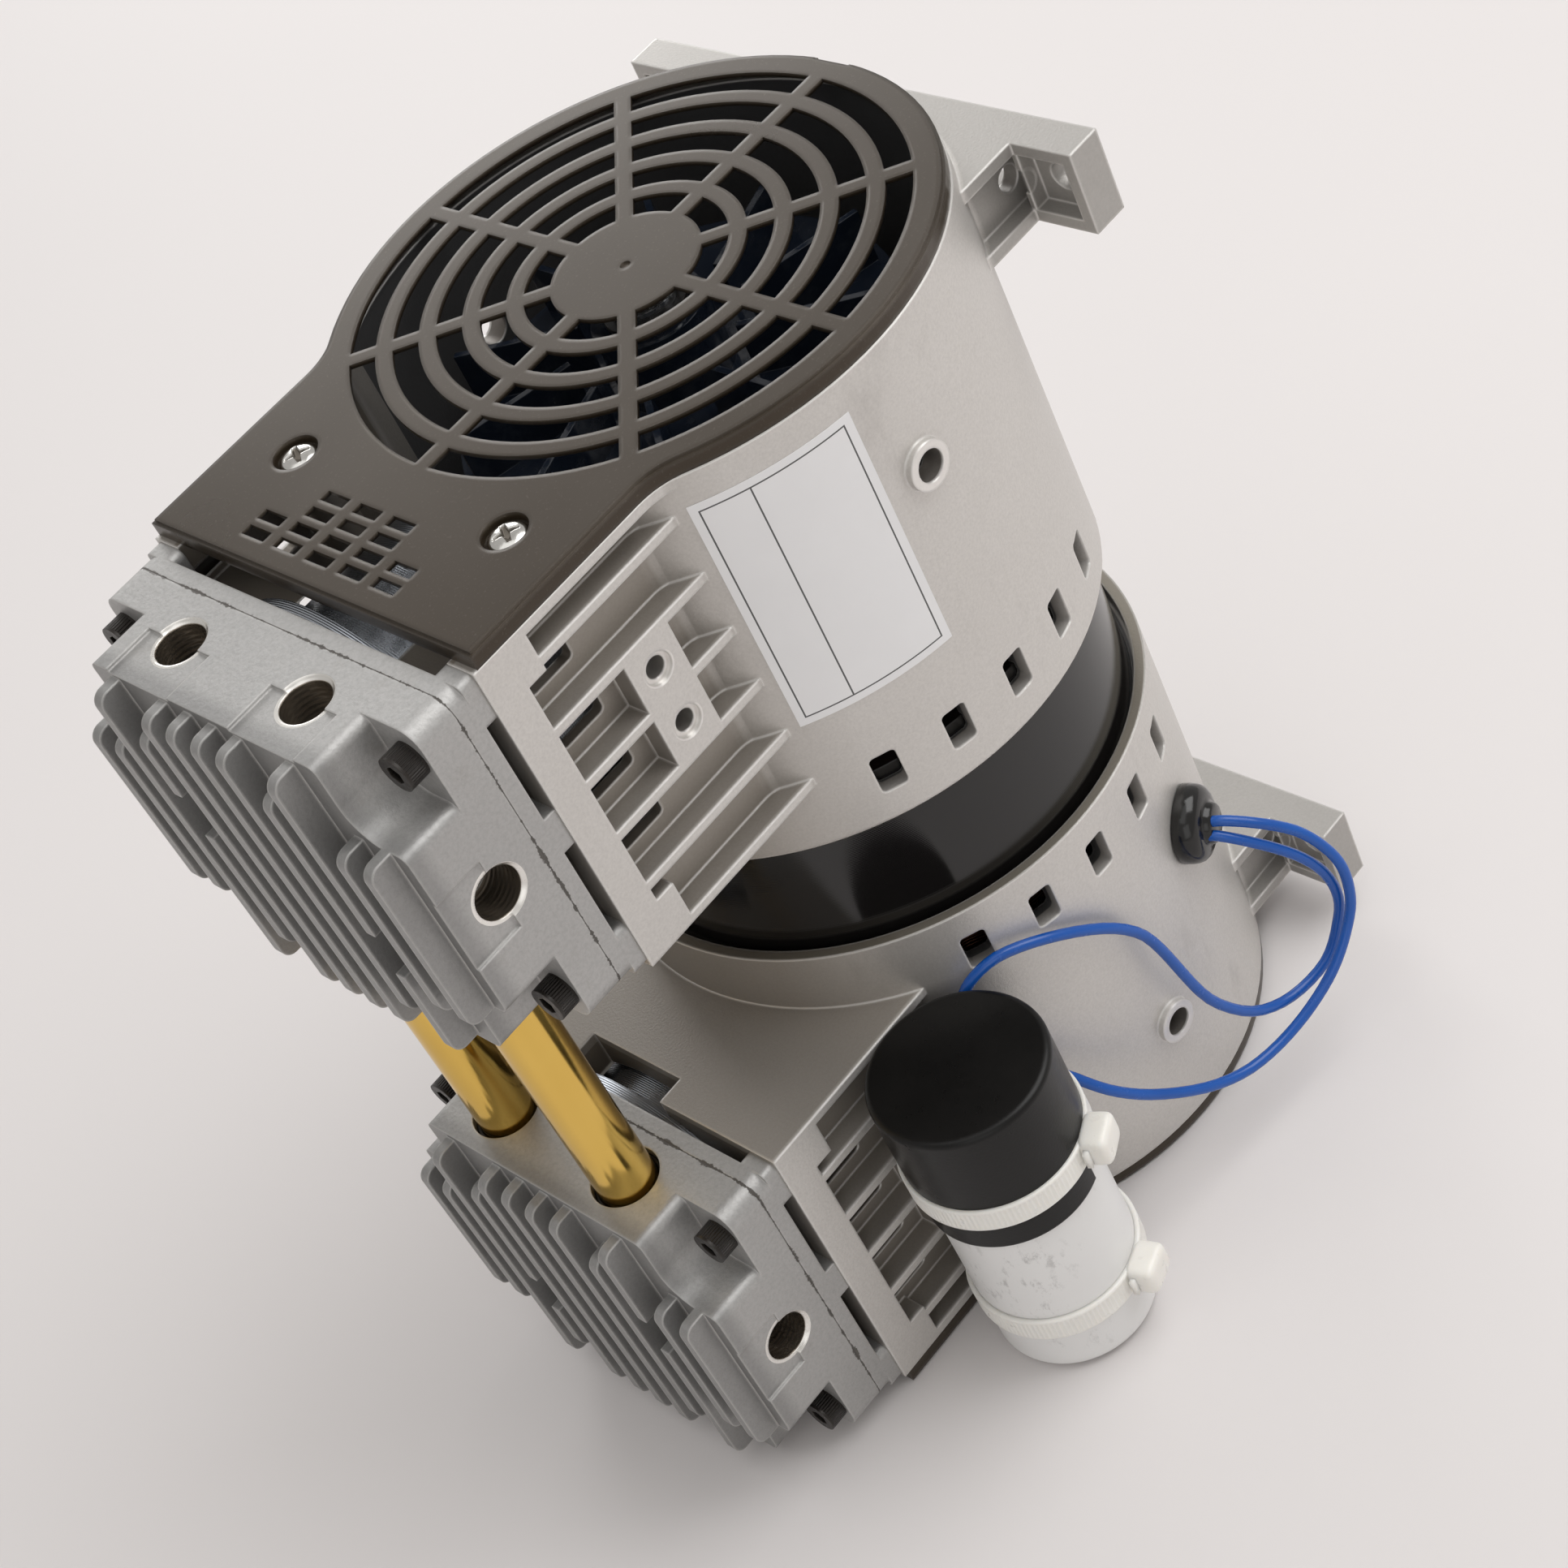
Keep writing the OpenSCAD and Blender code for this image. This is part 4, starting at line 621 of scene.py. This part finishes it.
def pan_screw(name, x, y, face, up):
    """Rings from the shank's tip, out under the head and over its dome.

    Four tapered slots are sunk in the crown, less deep further from the axis. The attribute depth
    is 1 in them and 0 elsewhere, for the plating.
    """
    ring = np.array([(shank_radius, -shank_length), (shank_radius, 0), (screw_radius - 0.2, 0),
                     (screw_radius, 0.12), (screw_radius, rim_height)])
    out = np.linspace(1, 0.03, 34)
    swell = (crown_height - rim_height) * (1 - out ** 2.6) ** 0.6
    dome = np.stack([screw_radius * out, rim_height + swell], 1)
    radius, level = np.vstack([ring, dome[1:]]).T[:, :, None]
    turn = np.linspace(0, 2 * np.pi, 96, endpoint=False)[None]
    a = np.abs(radius * np.cos(turn + cross_turn))
    b = np.abs(radius * np.sin(turn + cross_turn))
    reach, wide = np.maximum(a, b), np.minimum(a, b)
    slot = np.clip((slot_half_width - 0.16 * reach - wide) / 0.2, 0, 1)
    slot = slot * np.clip((slot_reach - reach) / 0.3, 0, 1) * (level > rim_height)
    sunk = slot * (slot_depth - 0.45 * reach)
    rings = np.stack(
        np.broadcast_arrays(radius * np.cos(turn), radius * np.sin(turn), level - sunk), -1)
    points = np.vstack([(0, 0, -shank_length), rings.reshape(-1, 3),
                        (0, 0, crown_height - slot_depth)]) / 1000
    points[:, 2] *= up
    faces = shell_faces(len(rings), 96)
    piece = solid(name, points + (x, y, face), faces if up > 0 else [f[::-1] for f in faces])
    depth = piece.data.attributes.new("depth", "FLOAT", "POINT")
    depth.data.foreach_set("value", np.hstack([0, slot.ravel(), 1]))
    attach(piece, "pump_body")
    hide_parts("cover_screws")
    return piece


def nickel_plate():
    """Smeared bright metal, brown and dull down in the slots."""
    p = Paint("nickel_plate")
    smear = p.noise(700, 4, 0.6)
    depth = p.node("ShaderNodeAttribute", {"attribute_name": "depth"}, out="Fac")
    plate = p.mix(smear, (0.62, 0.61, 0.58), (0.76, 0.75, 0.72))
    return p.coat(
        Base_Color=p.mix(p.ramp(depth, 0.1, 0.9, 0, 0.85), plate, (0.085, 0.065, 0.045)),
        Metallic=1.0, Roughness=p.ramp(smear, 0.3, 0.7, 0.13, 0.26) + depth * 0.3,
        Normal=p.bump(smear, 0.00002))


nickel = nickel_plate()
screw_x, screw_side = -0.0706, 0.0339
for end, face, up in (("upper", 0.2496, 1), ("lower", 0.0024, -1)):
    for name, y in (("near", -screw_side), ("far", screw_side)):
        wear(pan_screw(end + "_" + name + "_cover_screw", screw_x, y, face, up), nickel)


# ---- Capacitor ----
# A run capacitor in a white plastic can, scuffed grey in places, with a soft black boot pulled
# over its tinned terminals. Two nylon ties hold it.
def white_plastic():
    """White with grey scuffs, which are fine noise drawn out upwards, within coarser patches."""
    p = Paint("white_plastic")
    patch = p.ramp(p.noise(42, 3), 0.47, 0.62)
    scuff = p.ramp(p.noise(300, 6, 0.75, p.drawn_out(1, 1, 0.5)), 0.55, 0.66) * patch
    tone = p.mix(p.noise(45, 3), (0.74, 0.735, 0.725), (0.80, 0.795, 0.785))
    return p.coat(
        Base_Color=p.mix(scuff * 0.5, tone, (0.30, 0.29, 0.28)),
        Roughness=p.ramp(p.noise(120, 3), 0.3, 0.7, 0.28, 0.4) + scuff * 0.15,
        Normal=p.bump(p.noise(500) + scuff * 0.5, 0.00004, p.rounded(0.001)))


def tinned_brass():
    """Pale yellow metal mixed by noise, with finer noise in the gloss and the bump."""
    p = Paint("tinned_brass")
    return p.coat(
        Base_Color=p.mix(p.noise(500, 3), (0.55, 0.52, 0.44), (0.66, 0.64, 0.58)), Metallic=1.0,
        Roughness=p.ramp(p.noise(900), 0.3, 0.7, 0.2, 0.34),
        Normal=p.bump(p.noise(1500), 0.00002, p.rounded(0.0002)))


wear(node["capacitor_can"], white_plastic())
wear(node["capacitor_boot"], black_rubber("boot_rubber", 0.29, 0.25))
wear(node["capacitor_terminals"], tinned_brass())


# ---- Nylon ties ----
# Two natural nylon ties hold the capacitor and its boot to the lower housing. Each toothed band
# runs once round and back through its own square head, where the tail is cut off short.
can_axis = (-0.0603, -0.0742, 0)  # upright through this point
band_width = 0.007
tooth_height = 0.00014


def nylon_band(name, radius, low, teeth):
    """A flat strap's section carried round a circle, with fine teeth rippled over its outside."""
    steps = 8 * teeth
    turn = np.linspace(0, 2 * np.pi, steps, endpoint=False)[:, None]
    section = np.array([(0, 7), (1, 6.96), (1.22, 6.7), (1.3, 6.4), (1.3, 5.9), (1.3, 1.1),
                        (1.3, 0.6), (1.22, 0.3), (1, 0.04), (0, 0)]) / 1000
    toothed = np.array([0, 0, 0, 0, 1, 1, 0, 0, 0, 0])
    out = radius + section[:, 0] - toothed * tooth_height / 2 * (1 - np.cos(teeth * turn))
    level = np.broadcast_to(low + section[:, 1], out.shape)
    points = np.stack([out * np.cos(turn), out * np.sin(turn), level], -1)
    return solid(name, points + can_axis, grid_faces(steps, len(section), True))


def turned_about_z(points, turn):
    """The points turned so many degrees anticlockwise, seen from above."""
    c, s = np.cos(np.radians(turn)), np.sin(np.radians(turn))
    return points @ np.array([(c, s, 0), (-s, c, 0), (0, 0, 1)])


def nylon_head(name, radius, low, turn):
    """A rounded block and the strap's cut tail under it.

    The block is a sphere's grid with its sines and cosines raised to a power below 1, so that its
    sides fill out. The tail is a plain box.
    """
    def full(wave):
        return np.sign(wave) * np.abs(wave) ** 0.42
    rise = np.linspace(-np.pi / 2, np.pi / 2, 27)[1:-1, None]
    round_ = np.linspace(0, 2 * np.pi, 48, endpoint=False)[None]
    blob = np.stack(np.broadcast_arrays(
        full(np.sin(rise)), full(np.cos(rise)) * full(np.cos(round_)),
        full(np.cos(rise)) * full(np.sin(round_))), -1)
    half_sizes, stands_off = (0.0036, 0.0052, 0.0043), (0.0035, 0, 0)
    points = np.vstack([(-1, 0, 0), blob.reshape(-1, 3), (1, 0, 0)]) * half_sizes + stands_off
    corners = (1.5, -2.4), (2.8, -2.4), (2.8, 2.4), (1.5, 2.4)
    tail = np.array([(x, y, z) for y in (-6.4, -4) for x, z in corners]) / 1000
    faces = shell_faces(25, 48)
    faces += [[len(points) + k for k in f] for f in (
        (0, 1, 5, 4), (1, 2, 6, 5), (2, 3, 7, 6), (3, 0, 4, 7), (3, 2, 1, 0), (4, 5, 6, 7))]
    points = np.vstack([points, tail]) + (radius, 0, 0)
    points = turned_about_z(points, turn) + can_axis + (0, 0, low + band_width / 2)
    return solid(name, points, faces)


def natural_nylon():
    """Milky white mixed by noise, with a little light let through under the surface."""
    p = Paint("natural_nylon")
    milky = p.noise(200, 3)
    return p.coat(
        Base_Color=p.mix(milky, (0.80, 0.78, 0.73), (0.87, 0.85, 0.80)), Subsurface_Weight=0.4,
        Subsurface_Radius=(1, 0.9, 0.75), Subsurface_Scale=0.002,
        Roughness=p.ramp(p.noise(350), 0.3, 0.7, 0.26, 0.38), Normal=p.bump(milky, 0.00003))


nylon = natural_nylon()
for name, radius, low, turn, teeth in (
        ("boot_tie", 0.0212, 0.061, -63, 120), ("can_tie", 0.02, 0.015, -71, 112)):
    for piece in (nylon_band(name + "_band", radius, low, teeth),
                  nylon_head(name + "_head", radius, low, turn)):
        wear(piece, nylon)
        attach(piece, "pump_body")
        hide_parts(name)


# ---- Wire grommet ----
# A glossy black rubber bush pressed into the hole in the lower drum. Its domed flange lies on the
# curved wall, and both leads come out through its short nose.
def domed_bush(name, turn, low):
    """A profile carried round the hole's axis, as rows of radius, level and share in millimetres.

    A row with a share of 1 follows the drum's wall, one with 0 is flat, and the rest lie between.
    """
    profile = np.array([
        (6.4, -6.5, 0), (6.4, 0.1, 1), (9.2, 0.1, 1), (9.6, 0.45, 1), (9.6, 2.2, 0.6),
        (9.45, 3.4, 0.3), (9.0, 4.5, 0), (8.2, 5.3, 0), (7.2, 5.8, 0), (6.1, 6.0, 0),
        (5.4, 6.1, 0), (5.1, 6.4, 0), (4.95, 7.2, 0), (4.6, 7.8, 0), (4.0, 8, 0)])
    radius, level, share = (column[:, None] for column in profile.T)
    angle = np.linspace(0, 2 * np.pi, 96, endpoint=False)[None]
    across, above = radius * np.cos(angle), radius * np.sin(angle)
    wall = drum_radius * 1000
    out = share * np.sqrt(wall ** 2 - across ** 2) + (1 - share) * wall + level
    points = np.stack([out, across, above], -1).reshape(-1, 3)
    points = np.vstack([(wall + profile[0, 1], 0, 0), points, (wall + profile[-1, 1], 0, 0)]) / 1000
    piece = solid(name, turned_about_z(points, turn) + (0, 0, low), shell_faces(len(profile), 96))
    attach(piece, "pump_body")
    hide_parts("wire_grommet")
    return piece


wear(domed_bush("lead_bush", -64.4, 0.0707), black_rubber("bush_rubber", 0.1, 0.5))


# ---- Rating label ----
# A white film sticker on the upper drum, with a thin printed frame and one dividing line. It is
# left blank.
label_rise = 0.209
label_along = -0.13962  # round the wall, from +X
divider_along = -0.1452
frame_half_width = 0.0165
frame_half_height = 0.0295
half_line = 0.00018


def label_film():
    """White with black lines. The frame is where the distance from a rectangle is nearly nought."""
    p = Paint("label_film")
    x, y, z = p.parts()
    along = p.one("ARCTAN2", y, x) * (drum_radius + 0.0001)
    off_side = p.one("ABSOLUTE", along - label_along) - frame_half_width
    off_end = p.one("ABSOLUTE", z - label_rise) - frame_half_height
    off = p.one("MAXIMUM", off_side, off_end)
    frame_line = p.one("ABSOLUTE", off) < half_line
    divider = (p.one("ABSOLUTE", along - divider_along) < half_line) * (off < 0)
    ink = p.one("MAXIMUM", frame_line, divider)
    tone = p.mix(p.noise(60, 3), (0.77, 0.765, 0.77), (0.82, 0.815, 0.82))
    return p.coat(
        Base_Color=p.mix(ink * 0.92, tone, (0.03, 0.03, 0.03)),
        Roughness=p.ramp(p.noise(900), 0.3, 0.7, 0.34, 0.46),
        Normal=p.bump(p.noise(500), 0.00003))


wear(node["rating_label"], label_film())


# ---- Studio ----
# A pale table under the pump, a large soft lamp to its right, a window behind it, a weak fill, a
# bright ceiling and a plain room. All four lamps point at the pump.
aim = 0.1  # the height that the lamps point at
bpy.ops.mesh.primitive_plane_add(size=8)
table = bpy.context.object
table.name = "table"
p = Paint("table")
wear(table, p.coat(
    Base_Color=p.mix(p.noise(3, 3), (0.720, 0.690, 0.683), (0.740, 0.710, 0.703)), Roughness=0.6))
room = bpy.context.scene.world or bpy.data.worlds.new("room")
bpy.context.scene.world = room
room.use_nodes = True
room.node_tree.nodes["Background"].inputs[0].default_value = (1.0, 0.975, 0.95, 1)
room.node_tree.nodes["Background"].inputs[1].default_value = 0.5
for name, turn, rise, far, size, power in (
        ("soft_lamp", -32, 54, 2.0, 1.6, 24), ("window", 60, 17, 2.8, 1.2, 19),
        ("fill", -130, 22, 1.9, 1.2, 3), ("ceiling", 190, 75, 2.2, 2.0, 8)):
    lamp = bpy.data.objects.new(name, bpy.data.lights.new(name, "AREA"))
    bpy.context.scene.collection.objects.link(lamp)
    lamp.data.size = size
    lamp.data.energy = power
    turn, rise = np.radians(turn), np.radians(rise)
    flat = far * np.cos(rise)
    lamp.location = flat * np.cos(turn), flat * np.sin(turn), far * np.sin(rise) + aim
    lamp.rotation_euler = (lamp.location - Vector((0, 0, aim))).to_track_quat("Z", "Y").to_euler()
bpy.context.scene.view_settings.view_transform = "Standard"
